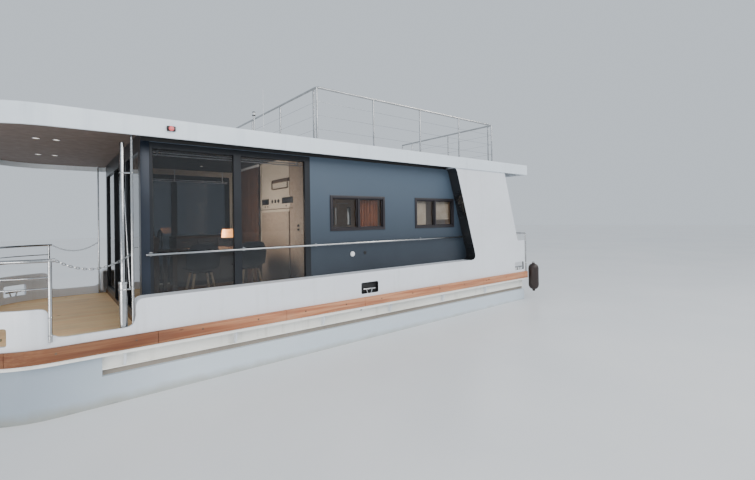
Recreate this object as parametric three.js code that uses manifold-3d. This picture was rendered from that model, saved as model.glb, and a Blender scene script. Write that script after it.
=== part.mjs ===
import * as THREE from "three";
import { mergeVertices } from "three/addons/utils/BufferGeometryUtils.js";
import Module from "manifold-3d";

const wasm = await Module();
wasm.setup();

// A catamaran houseboat in millimetres. +X is the bow, +Y is port, +Z is up, z = 0 is under the pontoons.
// Stations run aft from the forward gate post: at() turns a station into an x.
const stationZero = 4110;
const at = (station) => stationZero - station;

// Heights above the underside of the pontoons
const pontoonTop = 715;
const bowTop = 930;
const frameBottom = 790;
const plateBottom = 932;
const plateTop = 968;
const strakeTop = 1102;
const terraceTop = 1050;
const floorTop = 1110;
const sillTop = 1180;
const bulwarkTop = 1472;
const sternBulwarkTop = 1780;
const grabHeight = 1920;
const railTop = 1948;
const fasciaBottom = 3211;
const ceilingBottom = 3290;
const roofUnderside = 3302;
const roofDeck = 3395;
const fasciaTop = 3421;
const roofRailTop = 4220;

// Half widths, measured from the centreline
const strakeSide = 1985;
const roofSide = 1955;
const panelSide = 1935;
const plateSide = 1972;
const pontoonSide = 1905;
const pontoonInner = 755;
const wallSide = 1715;
const deckSide = 1894;

// Stations along the boat
const roofFront = -820;
const strakeFront = -800;
const plateFront = -750;
const gateFront = 0;
const gateAft = 721.7;
const cabinFront = 808;
const cabinAft = 7400;
const floorAft = 8150;
const strakeAft = 8180;
const plateAft = 8200;
const roofAft = 8270;

// Thicknesses and clearances
const wall = 60;
const skin = 40;
const seat = 0.3;
const running = 5;

// The bow corners, rounded in plan: centres as a station and a half width, and their radii
const bowCentre = { station: 50, y: 1135 };
const bowRadius = bowCentre.station - plateFront;
const plateCentre = { station: 50, y: plateSide - bowRadius };
const deckCentre = { station: 50, y: 1140 };
const pontoonCentre = { station: 50, y: 1155 };
const pontoonRadius = 750;
const roofCentre = { station: 30, y: 1105 };
const roofRadius = roofCentre.station - roofFront;

const colours = {
  white: [0xd5d8db, 0.45, 0.0],
  hull: [0xc3ccd2, 0.5, 0.0],
  blue: [0x4d6073, 0.55, 0.1],
  anthracite: [0x2f3338, 0.45, 0.4],
  cream: [0xd6d3c4, 0.5, 0.2],
  larch: [0xc07a4d, 0.75, 0.0],
  decking: [0xbe9b73, 0.8, 0.0],
  ceiling: [0x544a46, 0.8, 0.0],
  beige: [0xcfc4b0, 0.7, 0.0],
  stainless: [0xc9ccce, 0.25, 1.0],
  glass: [0x2a3236, 0.08, 0.0],
  grey: [0x6b6f73, 0.85, 0.0],
  black: [0x1c1c1e, 0.5, 0.0],
  brown: [0x5a4334, 0.9, 0.0],
  oak: [0xb08a5c, 0.6, 0.0],
};

const boat = new THREE.Group();

function paint([color, roughness, metalness]) {
  return new THREE.MeshStandardMaterial({ color, roughness, metalness });
}

// Solids

function solid(geometry) {
  const bare = geometry.clone();
  bare.deleteAttribute("normal");
  bare.deleteAttribute("uv");
  const merged = mergeVertices(bare, 1e-3);
  return new wasm.Manifold(
    new wasm.Mesh({
      numProp: 3,
      vertProperties: Float32Array.from(merged.attributes.position.array),
      triVerts: Uint32Array.from(merged.index.array),
    }),
  );
}

function join(parts) {
  return parts.reduce((whole, part) => whole.add(part));
}

function cut(whole, tools) {
  return tools.reduce((left, tool) => left.subtract(tool), whole);
}

function place(name, shape, colour, parent = boat) {
  const { vertProperties, triVerts } = shape.getMesh();
  const geometry = new THREE.BufferGeometry();
  geometry.setAttribute("position", new THREE.BufferAttribute(Float32Array.from(vertProperties), 3));
  geometry.setIndex(new THREE.BufferAttribute(Uint32Array.from(triVerts), 1));
  geometry.computeVertexNormals();
  const mesh = new THREE.Mesh(geometry, paint(colour));
  mesh.name = name;
  parent.add(mesh);
  return mesh;
}

function box([x0, x1], [y0, y1], [z0, z1]) {
  const geometry = new THREE.BoxGeometry(Math.abs(x1 - x0), Math.abs(y1 - y0), Math.abs(z1 - z0));
  geometry.translate((x0 + x1) / 2, (y0 + y1) / 2, (z0 + z1) / 2);
  return solid(geometry);
}

// An outline of corners [across, up, radius], each rounded by its radius
function outline(corners) {
  const shape = new THREE.Shape();
  corners.forEach(([x, y, radius = 0], index) => {
    const before = corners.at(index - 1);
    const after = corners[(index + 1) % corners.length];
    const towards = ([px, py]) => {
      const length = Math.hypot(px - x, py - y);
      return [x + ((px - x) * radius) / length, y + ((py - y) * radius) / length];
    };
    const start = towards(before);
    const end = towards(after);
    if (index === 0) shape.moveTo(...start);
    else shape.lineTo(...start);
    if (radius > 0) shape.quadraticCurveTo(x, y, ...end);
  });
  shape.closePath();
  return shape;
}

const cornerSteps = 4;

// The corners of a curve from start to end that bends towards corner
function bend(start, corner, end) {
  return Array.from({ length: cornerSteps + 1 }, (_, index) => {
    const t = index / cornerSteps;
    const at = (axis) => start[axis] * (1 - t) ** 2 + corner[axis] * 2 * t * (1 - t) + end[axis] * t ** 2;
    return [at(0), at(1)];
  });
}

// A side outline of [x, z] corners, extruded across the boat
function sidePlate(corners, [y0, y1]) {
  const depth = Math.abs(y1 - y0);
  const geometry = new THREE.ExtrudeGeometry(outline(corners), {
    depth, bevelEnabled: false, curveSegments: cornerSteps,
  });
  geometry.rotateX(Math.PI / 2);
  geometry.translate(0, Math.max(y0, y1), 0);
  return solid(geometry);
}

// An end outline of [y, z] corners, extruded along the boat
function endPlate(corners, [x0, x1]) {
  const depth = Math.abs(x1 - x0);
  const geometry = new THREE.ExtrudeGeometry(outline(corners), {
    depth, bevelEnabled: false, curveSegments: cornerSteps,
  });
  geometry.applyMatrix4(new THREE.Matrix4().set(0, 0, 1, 0, 1, 0, 0, 0, 0, 1, 0, 0, 0, 0, 0, 1));
  geometry.translate(Math.min(x0, x1), 0, 0);
  return solid(geometry);
}

// A plan outline of [x, y] corners, extruded upwards
function planPlate(corners, [z0, z1]) {
  const geometry = new THREE.ExtrudeGeometry(outline(corners), {
    depth: z1 - z0, bevelEnabled: false, curveSegments: cornerSteps,
  });
  geometry.translate(0, 0, z0);
  return solid(geometry);
}

const bowSteps = 12;

// Points of a quarter circle in plan round a bow corner, from the side to the front
function bowArc(centre, radius, side) {
  return Array.from({ length: bowSteps + 1 }, (_, index) => {
    const angle = ((Math.PI / 2) * index) / bowSteps;
    return [at(centre.station) + radius * Math.sin(angle), side * (centre.y + radius * Math.cos(angle))];
  });
}

// A plate from a station to the bow, with both bow corners rounded in plan
function bowedPlate(aft, centre, radius, height) {
  const half = centre.y + radius;
  const port = bowArc(centre, radius, 1).reverse();
  return planPlate([[at(aft), -half], ...bowArc(centre, radius, -1), ...port, [at(aft), half]], height);
}

// A band from a station round one bow corner to the middle of the front
function bowBand(aft, centre, radii, side, height) {
  const edge = (radius) => [
    [at(aft), side * (centre.y + radius)],
    ...bowArc(centre, radius, side),
    [at(centre.station) + radius, side * (seat / 2)],
  ];
  return planPlate([...edge(radii[1]), ...edge(radii[0]).reverse()], height);
}

// What lies outside a rounded bow corner
function bowCorner(centre, radius, side, height) {
  const front = at(centre.station) + radius + 20;
  const outer = side * (centre.y + radius + 20);
  const arc = bowArc(centre, radius, side);
  const corners = [[front, side * centre.y], [front, outer], [at(centre.station), outer]];
  return planPlate([...arc, ...corners], height);
}

const tubeSides = 10;

// A straight round bar between two points
function bar(from, to, radius, sides = tubeSides) {
  const start = new THREE.Vector3(...from);
  const end = new THREE.Vector3(...to);
  const geometry = new THREE.CylinderGeometry(radius, radius, start.distanceTo(end), sides);
  const turn = new THREE.Quaternion().setFromUnitVectors(
    new THREE.Vector3(0, 1, 0),
    end.clone().sub(start).normalize(),
  );
  geometry.applyQuaternion(turn);
  geometry.translate(...start.add(end).multiplyScalar(0.5).toArray());
  return solid(geometry);
}

// A tube along a smooth curve
function bentTube(curve, radius, steps, sides = 8) {
  const circle = new THREE.Shape().absarc(0, 0, radius, 0, Math.PI * 2);
  const geometry = new THREE.ExtrudeGeometry(circle, {
    steps, extrudePath: curve, bevelEnabled: false, curveSegments: sides / 2,
  });
  return solid(geometry);
}

// A rail through several points, with a ball at each bend
function rail(points, radius) {
  const runs = points.slice(1).map((point, index) => bar(points[index], point, radius));
  const bends = points.slice(1, -1).map((point) => {
    const ball = new THREE.SphereGeometry(radius * 1.02, tubeSides, 8);
    ball.translate(...point);
    return solid(ball);
  });
  return join([...runs, ...bends]);
}

// Pontoons and deck

const pontoonBow = -700;
const pontoonStep = 420;
const bowKnuckle = 520;
const keel = { fore: 450, aft: 8000, transomFoot: 150 };

function pontoon(side) {
  const hull = sidePlate(
    [
      [at(keel.aft), 0],
      [at(floorAft), keel.transomFoot],
      [at(floorAft), pontoonTop, 20],
      [at(pontoonStep), pontoonTop],
      [at(pontoonStep), bowTop],
      [at(pontoonBow), bowTop, 30],
      [at(pontoonBow), bowKnuckle, 60],
      [at(keel.fore), 0, 200],
    ],
    [side * pontoonInner, side * pontoonSide],
  );
  return cut(hull, [bowCorner(pontoonCentre, pontoonRadius, side, [-10, bowTop + 10])]);
}

const beamStations = [620, 1787, 3037, 4287, 5537, 6787, 8120];
const beamHalf = 30;
const web = { start: pontoonStep + seat, end: floorAft, inner: 1800, outer: 1860 };
const flange = { inner: 1765, outer: 1895, bottom: frameBottom - 12 };
const packer = { inner: 1790, outer: 1848 };

// Swim ladder and its hinge lugs on the deck frame
const ladderHinge = [at(8245), 1000];
const ladderSides = [520, 860];
const stileRadius = 15;
const lug = { gap: 5, thick: 22, reach: 25, root: 30, bore: 8.5 };

function deckFrame() {
  const plate = bowedPlate(plateAft, plateCentre, bowRadius, [plateBottom, plateTop]);
  const span = [at(web.end), at(web.start)];
  const webs = [1, -1].flatMap((side) => [
    box(span, [side * web.inner, side * web.outer], [frameBottom - 1, plateBottom + 1]),
    box(span, [side * flange.inner, side * flange.outer], [flange.bottom, frameBottom]),
    box(span, [side * packer.inner, side * packer.outer], [pontoonTop + seat, flange.bottom + 1]),
  ]);
  const beams = beamStations.map((station) =>
    box(
      [at(station + beamHalf), at(station - beamHalf)],
      [-web.outer, web.outer],
      [frameBottom, plateBottom + 1],
    ),
  );
  const [x, z] = ladderHinge;
  const [near, far] = ladderSides;
  const clear = stileRadius + lug.gap;
  const lugs = [near - clear - lug.thick, far + clear].map((y) =>
    box([x - lug.reach, at(plateAft) + lug.root], [y, y + lug.thick], [plateBottom, z + lug.reach]),
  );
  const bore = bar([x, near - 2 * clear - lug.thick, z], [x, far + 2 * clear + lug.thick, z], lug.bore);
  return cut(join([plate, ...webs, ...beams, ...lugs]), [bore]);
}

const strakeRadii = [bowRadius + seat, bowRadius + strakeSide - panelSide];

for (const [name, side] of [["port", 1], ["starboard", -1]]) {
  place(`${name}_pontoon`, pontoon(side), colours.hull);
  place(
    `${name}_rub_strake`,
    bowBand(strakeAft, bowCentre, strakeRadii, side, [plateTop + seat, strakeTop]),
    colours.larch,
  );
}
place("deck_frame", deckFrame(), colours.cream);
place(
  "terrace_deck",
  bowedPlate(cabinFront, deckCentre, deckSide - deckCentre.y, [plateTop + seat, terraceTop]),
  colours.decking,
);
place(
  "cabin_floor",
  box([at(floorAft), at(cabinFront + seat)], [-deckSide, deckSide], [plateTop + seat, floorTop]),
  colours.decking,
);

// White sides: terrace bulwarks and the long side panels with their raked pillars

const bowGateHalf = 450;
const niches = { bowHeading: 0.67, sideStations: [3850, 7935], half: 165, low: 1150, high: 1320, corner: 25 };
const cleatSize = {
  legRadius: 11, legSpread: 55, foot: 0.6, rise: 66, barRadius: 13, barHalf: 115, inset: skin / 2,
};
const gatewayBend = 80;
const sillBend = 130;
const sillEnd = { reach: 105, thick: 4 };

// A place on the outer skin: +x runs along it, +y points out of it. Heading 0 faces port.
function faceFrame(x, y, heading) {
  return new THREE.Matrix4().makeRotationZ(-heading).setPosition(x, y, 0);
}

function bowFrame(side) {
  const heading = side > 0 ? niches.bowHeading : Math.PI - niches.bowHeading;
  const x = at(bowCentre.station) + bowRadius * Math.sin(niches.bowHeading);
  return faceFrame(x, side * (bowCentre.y + bowRadius * Math.cos(niches.bowHeading)), heading);
}

function sideFrames(side) {
  const heading = side > 0 ? 0 : Math.PI;
  return niches.sideStations.map((station) => faceFrame(at(station), side * panelSide, heading));
}

// A cleat's bar on two legs, standing on the lower edge of its niche
function cleat(frame) {
  const { legRadius, legSpread, foot, rise, barRadius, barHalf, inset } = cleatSize;
  const point = (along, z) => new THREE.Vector3(along, -inset, z).applyMatrix4(frame).toArray();
  const top = niches.low + rise;
  const legs = [-legSpread, legSpread].map((along) =>
    bar(point(along * foot, niches.low - 8), point(along, top - 4), legRadius, 8),
  );
  return join([...legs, bar(point(-barHalf, top), point(barHalf, top), barRadius, 8)]);
}

function niche(frame, reach) {
  const { half, low, high, corner } = niches;
  const corners = [[half, low, corner], [-half, low, corner], [-half, high, corner], [half, high, corner]];
  const geometry = new THREE.ExtrudeGeometry(outline(corners), {
    depth: reach + 5, bevelEnabled: false, curveSegments: cornerSteps,
  });
  geometry.rotateX(Math.PI / 2);
  geometry.translate(0, 5, 0);
  geometry.applyMatrix4(frame);
  return solid(geometry);
}

// What is open above the sill between the forward gate post and the side panel
function gatewayVoid(side) {
  const aft = at(gateAft) + sillEnd.thick;
  const fore = at(gateFront);
  return sidePlate(
    [
      [at(gateAft) - 10, bulwarkTop + 10],
      [at(gateAft) - 10, sillTop + sillEnd.reach],
      ...bend([aft, sillTop + sillEnd.reach], [aft, sillTop], [aft + sillEnd.reach, sillTop]),
      [fore, sillTop, sillBend],
      ...bend([fore, bulwarkTop - gatewayBend], [fore, bulwarkTop], [fore + gatewayBend, bulwarkTop]),
      [fore + gatewayBend, bulwarkTop + 10],
    ],
    [side * (panelSide - skin - 60), side * (panelSide + 10)],
  );
}

function bowGateVoid(side) {
  const edge = side * bowGateHalf;
  return endPlate(
    [
      [side * -10, bulwarkTop + 10],
      [side * -10, sillTop],
      [edge, sillTop, 8],
      ...bend([edge, bulwarkTop - gatewayBend], [edge, bulwarkTop], [edge + side * gatewayBend, bulwarkTop]),
      [edge + side * gatewayBend, bulwarkTop + 10],
    ],
    [at(plateFront + skin + 5), at(plateFront - 5)],
  );
}

function bulwark(side) {
  const height = [plateTop + seat, bulwarkTop];
  const band = bowBand(gateAft, bowCentre, [bowRadius - skin, bowRadius], side, height);
  const open = cut(band, [gatewayVoid(side), bowGateVoid(side), niche(bowFrame(side), 80)]);
  return open.add(cleat(bowFrame(side)));
}

const panelStart = gateAft + seat;
const pillar = { footFore: 6470, topFore: 5918, topAft: 7443, footAft: 7886, footBend: 150, topBend: 70 };
const panelSkin = 30;

function sidePanel(side) {
  const top = fasciaBottom - seat;
  const lean = (pillar.footFore - pillar.topFore) / (top - bulwarkTop);
  const face = sidePlate(
    [
      [at(panelStart), plateTop + seat],
      [at(panelStart), bulwarkTop, 90],
      [at(pillar.footFore), bulwarkTop, pillar.footBend],
      ...bend(
        [at(pillar.topFore + pillar.topBend * lean), top - pillar.topBend],
        [at(pillar.topFore), top],
        [at(pillar.topFore - pillar.topBend), top],
      ),
      [at(pillar.topAft), top],
      [at(pillar.footAft), sternBulwarkTop, 30],
      [at(floorAft), sternBulwarkTop, 20],
      [at(floorAft), plateTop + seat],
    ],
    [side * (wallSide + seat), side * panelSide],
  );
  const hollow = sidePlate(
    [
      [at(panelStart + panelSkin), plateTop - 10],
      [at(panelStart + panelSkin), bulwarkTop - panelSkin],
      [at(pillar.footFore + panelSkin), bulwarkTop - panelSkin],
      [at(pillar.topFore + panelSkin), top - panelSkin],
      [at(pillar.topAft - panelSkin), top - panelSkin],
      [at(pillar.footAft - panelSkin), sternBulwarkTop + 20],
      [at(floorAft + 50), sternBulwarkTop + 20],
      [at(floorAft + 50), plateTop - 10],
    ],
    [side * (wallSide - 10), side * (panelSide - panelSkin)],
  );
  const floorSpace = box(
    [at(floorAft + 50), at(panelStart - 10)],
    [side * (wallSide - 10), side * (deckSide + seat)],
    [plateTop - 10, floorTop + seat],
  );
  const frames = sideFrames(side);
  const open = cut(face, [hollow, floorSpace, ...frames.map((frame) => niche(frame, 45))]);
  return frames.reduce((panel, frame) => panel.add(cleat(frame)), open);
}

for (const [name, side] of [["port", 1], ["starboard", -1]]) {
  place(`${name}_bulwark`, bulwark(side), colours.white);
  place(`${name}_side_panel`, sidePanel(side), colours.white);
}

// Cabin walls and glazing

const wallBottom = floorTop + seat;
const wallTop = roofUnderside - seat;
const glazing = { start: 900, end: 2955, bottom: 1140, top: 3195 };
const panes = [[930, 1852], [1949, 2870]];
const paneHeight = [1200, 3122];
const windows = [
  { name: "fore", start: 3290, mullion: 3815, end: 4348 },
  { name: "aft", start: 5046, mullion: 5552, end: 6070 },
];
const windowHeight = [2113, 2650];
const windowRim = 42;
const rimProud = 14;
const glassInset = [28, 36];
const groove = 14;

function glassPlate([start, end], [low, high], side, clearance = 0) {
  const [outer, inner] = glassInset;
  return box(
    [at(end + groove + clearance), at(start - groove - clearance)],
    [side * (wallSide - outer + clearance), side * (wallSide - inner - clearance)],
    [low - groove - clearance, high + groove + clearance],
  );
}

function windowPane({ start, end }) {
  return [start + windowRim, end - windowRim];
}

const windowPaneHeight = [windowHeight[0] + windowRim, windowHeight[1] - windowRim];

function cabinWall(side) {
  const slab = box(
    [at(cabinAft - wall - seat), at(cabinFront + seat)],
    [side * (wallSide - wall), side * wallSide],
    [wallBottom, wallTop],
  );
  const doorway = box(
    [at(glazing.end), at(glazing.start)],
    [side * (wallSide - wall - 10), side * (wallSide + 10)],
    [glazing.bottom, glazing.top],
  );
  const rims = windows.map(({ start, end }) =>
    box([at(end), at(start)], [side * (wallSide - wall), side * (wallSide + rimProud)], windowHeight),
  );
  const holes = windows.flatMap(({ start, mullion, end }) => [
    [start + windowRim, mullion - windowRim / 2],
    [mullion + windowRim / 2, end - windowRim],
  ]).map(([start, end]) =>
    box([at(end), at(start)], [side * (wallSide - wall - 10), side * (wallSide + 30)], windowPaneHeight),
  );
  const grooves = windows.map((window) => glassPlate(windowPane(window), windowPaneHeight, side, seat));
  return cut(join([cut(slab, [doorway]), ...rims]), [...holes, ...grooves]);
}

function glazingFrame(side) {
  const frame = box(
    [at(glazing.end - seat), at(glazing.start + seat)],
    [side * (wallSide - wall + 5), side * wallSide],
    [glazing.bottom + seat, glazing.top - seat],
  );
  const holes = panes.map(([start, end]) =>
    box([at(end), at(start)], [side * (wallSide - wall - 10), side * (wallSide + 20)], paneHeight),
  );
  return cut(frame, [...holes, glassPlate([panes[0][0], panes[1][1]], paneHeight, side, seat)]);
}

for (const [name, side] of [["port", 1], ["starboard", -1]]) {
  place(`${name}_cabin_wall`, cabinWall(side), colours.blue);
  place(`${name}_glazing_frame`, glazingFrame(side), colours.anthracite);
  place(`${name}_saloon_glass`, glassPlate([panes[0][0], panes[1][1]], paneHeight, side), colours.glass);
  for (const window of windows) {
    const pane = glassPlate(windowPane(window), windowPaneHeight, side);
    place(`${name}_window_${window.name}_glass`, pane, colours.glass);
  }
}

// Front wall: a fixed pane each side of a sliding door, which runs on the inside

const frontPanes = [[640, 1600], [-1600, -640]];
const frontPaneHeight = [1200, 3090];
const frontSide = wallSide - wall - seat;
const doorway = { half: 600, bottom: 1112, top: 3090 };
const leafFront = cabinFront + wall + 6;
const leaf = { half: 640, bottom: 1122, top: 3125, front: leafFront, aft: leafFront + 40 };
const doorTrack = { low: 3134, high: 3180, start: -700, end: 1645 };

function frontGlass([low, high], clearance = 0) {
  return box(
    [at(cabinFront + 34 + clearance), at(cabinFront + 26 - clearance)],
    [low - groove - clearance, high + groove + clearance],
    [frontPaneHeight[0] - groove - clearance, frontPaneHeight[1] + groove + clearance],
  );
}

function frontWallFrame() {
  const through = [at(cabinFront + wall + 20), at(cabinFront - 20)];
  const slab = box([at(cabinFront + wall), at(cabinFront)], [-frontSide, frontSide], [wallBottom, wallTop]);
  const holes = frontPanes.map((pane) => box(through, pane, frontPaneHeight));
  const passage = box(through, [-doorway.half, doorway.half], [doorway.bottom, doorway.top]);
  const track = box(
    [at(leaf.aft + 14), at(cabinFront + wall - 1)],
    [doorTrack.start, doorTrack.end],
    [doorTrack.low, doorTrack.high],
  );
  return cut(slab, [...holes, passage, ...frontPanes.map((pane) => frontGlass(pane, seat))]).add(track);
}

const leafFrame = 55;
const kickHeight = 90;
const roller = { inset: 120, radius: 12, fore: 12, aft: 28, hangerHalf: 20 };
const doorHandle = { inset: 28, stand: 30, low: 1950, high: 2350, radius: 11, stem: 8 };

function doorGlass(clearance = 0) {
  return box(
    [at(leaf.front + 24 + clearance), at(leaf.front + 16 - clearance)],
    [-leaf.half + leafFrame - groove - clearance, leaf.half - leafFrame + groove + clearance],
    [leaf.bottom + kickHeight - groove - clearance, leaf.top - leafFrame + groove + clearance],
  );
}

function frontDoor() {
  const slab = box([at(leaf.aft), at(leaf.front)], [-leaf.half, leaf.half], [leaf.bottom, leaf.top]);
  const hole = box(
    [at(leaf.aft + 10), at(leaf.front - 10)],
    [-leaf.half + leafFrame, leaf.half - leafFrame],
    [leaf.bottom + kickHeight, leaf.top - leafFrame],
  );
  const [fore, aft] = [at(leaf.front + roller.fore), at(leaf.front + roller.aft)];
  const wheelZ = floorTop + seat + roller.radius;
  const fittings = [-leaf.half + roller.inset, leaf.half - roller.inset].flatMap((y) => [
    bar([aft, y, wheelZ], [fore, y, wheelZ], roller.radius, 12),
    box([aft, fore], [y - roller.hangerHalf, y + roller.hangerHalf], [leaf.top - 5, doorTrack.low - seat]),
  ]);
  const { inset, stand, low, high, radius, stem } = doorHandle;
  const [x, y] = [at(leaf.aft + stand), -leaf.half + inset];
  const stems = [low + 40, high - 40].map((z) => bar([x, y, z], [at(leaf.aft - 5), y, z], stem));
  const grip = bar([x, y, low], [x, y, high], radius);
  return cut(slab, [hole, doorGlass(seat)]).add(join([...fittings, grip, ...stems]));
}

// The rear door hangs on two hinges outside its port jamb
const rearDoorway = { half: 350, bottom: 1150, top: 3100 };
const rearHinge = {
  x: at(cabinAft + 18), y: rearDoorway.half, radius: 11, leaf: 45, knuckle: 110, heights: [1400, 2850],
};

function rearWall() {
  const shoulder = 3176;
  const slab = box(
    [at(cabinAft), at(cabinAft - wall)],
    [-panelSide + panelSkin + seat, panelSide - panelSkin - seat],
    [wallBottom, shoulder],
  );
  const crown = box([at(cabinAft), at(cabinAft - wall)], [-wallSide, wallSide], [shoulder - 1, wallTop]);
  const { half, bottom, top } = rearDoorway;
  const passage = box([at(cabinAft + 10), at(cabinAft - wall - 10)], [-half, half], [bottom, top]);
  const { x, y, radius, leaf: reach, knuckle, heights } = rearHinge;
  const jambHinges = heights.flatMap((z) => [
    bar([x, y, z - knuckle / 2], [x, y, z - seat], radius),
    box([x, at(cabinAft - 1)], [y, y + reach], [z - knuckle / 2, z - seat]),
  ]);
  return cut(slab.add(crown), [passage]).add(join(jambHinges));
}

function rearDoor() {
  const { half, bottom, top } = rearDoorway;
  const { x, y, radius, leaf: reach, knuckle, heights } = rearHinge;
  const slab = box(
    [at(cabinAft - running), at(cabinAft - running - skin)],
    [-half + running, half - running],
    [bottom + running, top - running],
  );
  const cover = box(
    [at(cabinAft + 24), at(cabinAft - running - 1)],
    [-half + running, half - running - 24],
    [bottom + 2 * running, top - 2 * running],
  );
  const barrels = heights.map((z) => bar([x, y, z], [x, y, z + knuckle], radius));
  const leaves = heights.map((z) => box([x - 6, x + 6], [y - reach, y], [z, z + knuckle]));
  const lever = { x: at(cabinAft + 60), y: -half + 60, z: 2150, length: 110, radius: 10 };
  const grip = bar([lever.x, lever.y, lever.z], [lever.x, lever.y + lever.length, lever.z], lever.radius);
  const stem = bar([lever.x, lever.y, lever.z], [at(cabinAft + 15), lever.y, lever.z], lever.radius);
  return join([slab, cover, ...barrels, ...leaves, grip, stem]);
}

const divider = { fore: 3010, aft: 3060, side: 1654, door: [-950, -250], doorTop: 3050 };

function partition() {
  const { fore, aft, side, door, doorTop } = divider;
  const slab = box([at(aft), at(fore)], [-side, side], [wallBottom, wallTop]);
  return cut(slab, [box([at(aft + 10), at(fore - 10)], door, [wallBottom - 5, doorTop])]);
}

place("front_wall_frame", frontWallFrame(), colours.anthracite);
place("front_glass_port", frontGlass(frontPanes[0]), colours.glass);
place("front_glass_starboard", frontGlass(frontPanes[1]), colours.glass);
place("front_door", frontDoor(), colours.anthracite);
place("front_door_glass", doorGlass(), colours.glass);
place("rear_cabin_wall", rearWall(), colours.white);
place("rear_door", rearDoor(), colours.white);
place("saloon_partition", partition(), colours.beige);

// Roof

const fasciaThick = 30;
const hatch = { start: 7600, inner: 1065, outer: 1715 };

function roof() {
  const block = bowedPlate(roofAft, roofCentre, roofRadius, [fasciaBottom, fasciaTop]);
  const inside = (height) => bowedPlate(roofAft - fasciaThick, roofCentre, roofRadius - fasciaThick, height);
  const well = inside([roofDeck, fasciaTop + 10]);
  const below = inside([fasciaBottom - 10, roofUnderside]);
  const opening = box(
    [at(roofAft - fasciaThick), at(hatch.start)],
    [-hatch.outer, -hatch.inner],
    [fasciaBottom - 10, fasciaTop + 10],
  );
  return cut(block, [well, below, opening]);
}

place("roof", roof(), colours.white);
place(
  "terrace_ceiling",
  bowedPlate(
    cabinFront - seat,
    roofCentre,
    roofRadius - fasciaThick - seat,
    [ceilingBottom, roofUnderside - seat],
  ),
  colours.ceiling,
);

// Sun deck railing

const roofRail = { front: 3045, bay: 1045, bays: 4, side: 1785, inner: 595, double: 90, openSide: -965 };
const postRadius = 14;
const topRadius = 17;

function roofRailing() {
  const { front, bay, bays, side, inner, double, openSide } = roofRail;
  const rear = front + bay * bays;
  const top = roofRailTop - topRadius;
  const route = [[rear, -side], [front, -side], [front, side], [rear, side], [rear, openSide]];
  const rails = rail(route.map(([station, y]) => [at(station), y, top]), topRadius);
  const feet = [];
  for (let index = 0; index <= bays; index += 1) {
    feet.push([at(front + bay * index), side], [at(front + bay * index), -side]);
  }
  for (const y of [-side + double, -inner, inner, side - double]) feet.push([at(front), y]);
  for (const y of [openSide, -inner, inner, side - double]) feet.push([at(rear), y]);
  const posts = feet.map(([x, y]) => bar([x, y, roofDeck + seat], [x, y, top], postRadius));
  const flanges = feet.map(([x, y]) => bar([x, y, roofDeck + seat], [x, y, roofDeck + 8], 38, 12));
  return join([rails, ...posts, ...flanges]);
}

place("roof_railing", roofRailing(), colours.stainless);

const mast = { station: 2830, y: 0, radius: 15, lightFoot: 4125, lightTop: 4200, lightRadius: 28 };
const antenna = { station: 2900, y: 240, mountRadius: 14, mountHeight: 90, radius: 5, top: 4550 };

function roofMast() {
  const low = roofDeck + 4;
  const stub = low + antenna.mountHeight;
  const upright = ({ station, y }, z0, z1, radius, sides) =>
    bar([at(station), y, z0], [at(station), y, z1], radius, sides);
  return join([
    box([at(antenna.station + 30), at(mast.station - 30)], [-60, 300], [roofDeck + seat, roofDeck + 8]),
    upright(mast, low, mast.lightFoot + 5, mast.radius),
    upright(mast, mast.lightFoot, mast.lightTop, mast.lightRadius, 12),
    upright(antenna, low, stub, antenna.mountRadius),
    upright(antenna, stub - 10, antenna.top, antenna.radius, 8),
  ]);
}

place("roof_mast", roofMast(), colours.white);

// Posts, pole and rails of the terrace

const post = { station: 704, y: 1866, radius: 13, footRadius: 21.5, headRadius: 30, flange: 10 };
const pole = {
  station: 617, y: 1840, radius: 22, sleeve: 40, top: 3139, sleeveTop: 1657, clamps: [1572, 2812],
};
const stayRod = { top: 3060, foot: 1576, share: 0.7, radius: 6 };

function roofPost(side) {
  const upright = (low, high, radius) =>
    bar([at(post.station), side * post.y, low], [at(post.station), side * post.y, high], radius, 12);
  const low = terraceTop + seat;
  const high = ceilingBottom - seat;
  return join([
    upright(low, high, post.radius),
    upright(low, low + post.flange, post.footRadius),
    upright(high - post.flange, high, post.headRadius),
  ]);
}

function mooringPole() {
  const foot = [at(pole.station), pole.y];
  const spacing = Math.hypot(post.station - pole.station, post.y - pole.y);
  const reach = (spacing - post.radius - seat) / spacing;
  const towardsPost = (share) => [
    at(pole.station + (post.station - pole.station) * share),
    pole.y + (post.y - pole.y) * share,
  ];
  const clamps = pole.clamps.map((z) => bar([...foot, z], [...towardsPost(reach), z], 11));
  return join([
    bar([...foot, terraceTop + seat], [...foot, pole.top], pole.radius, 12),
    bar([...foot, terraceTop + seat], [...foot, pole.sleeveTop], pole.sleeve, 12),
    bar([...foot, stayRod.top], [...towardsPost(stayRod.share), stayRod.foot], stayRod.radius, 8),
    ...clamps,
  ]);
}

// The terrace rails stand on the outer face of the bulwarks and bend with them
const railPostRadius = 16;
const railRadius = bowRadius + seat + railPostRadius;
const railSide = bowCentre.y + railRadius;
const gatePostAngle = 0.047;
const cornerPostAngle = (Math.PI / 2) * (7 / bowSteps);
const postFoot = 1160;
const midRails = { heights: [1771, 1668], radius: 8 };

// A quarter circle in plan round a bow corner, from an angle off the side to the front
class BowCurve extends THREE.Curve {
  constructor(side, z, startAngle) {
    super();
    Object.assign(this, { side, z, startAngle });
  }

  getPoint(share, target = new THREE.Vector3()) {
    const angle = this.startAngle + (Math.PI / 2 - this.startAngle) * share;
    const x = at(bowCentre.station) + railRadius * Math.sin(angle);
    return target.set(x, this.side * (bowCentre.y + railRadius * Math.cos(angle)), this.z);
  }
}

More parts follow.
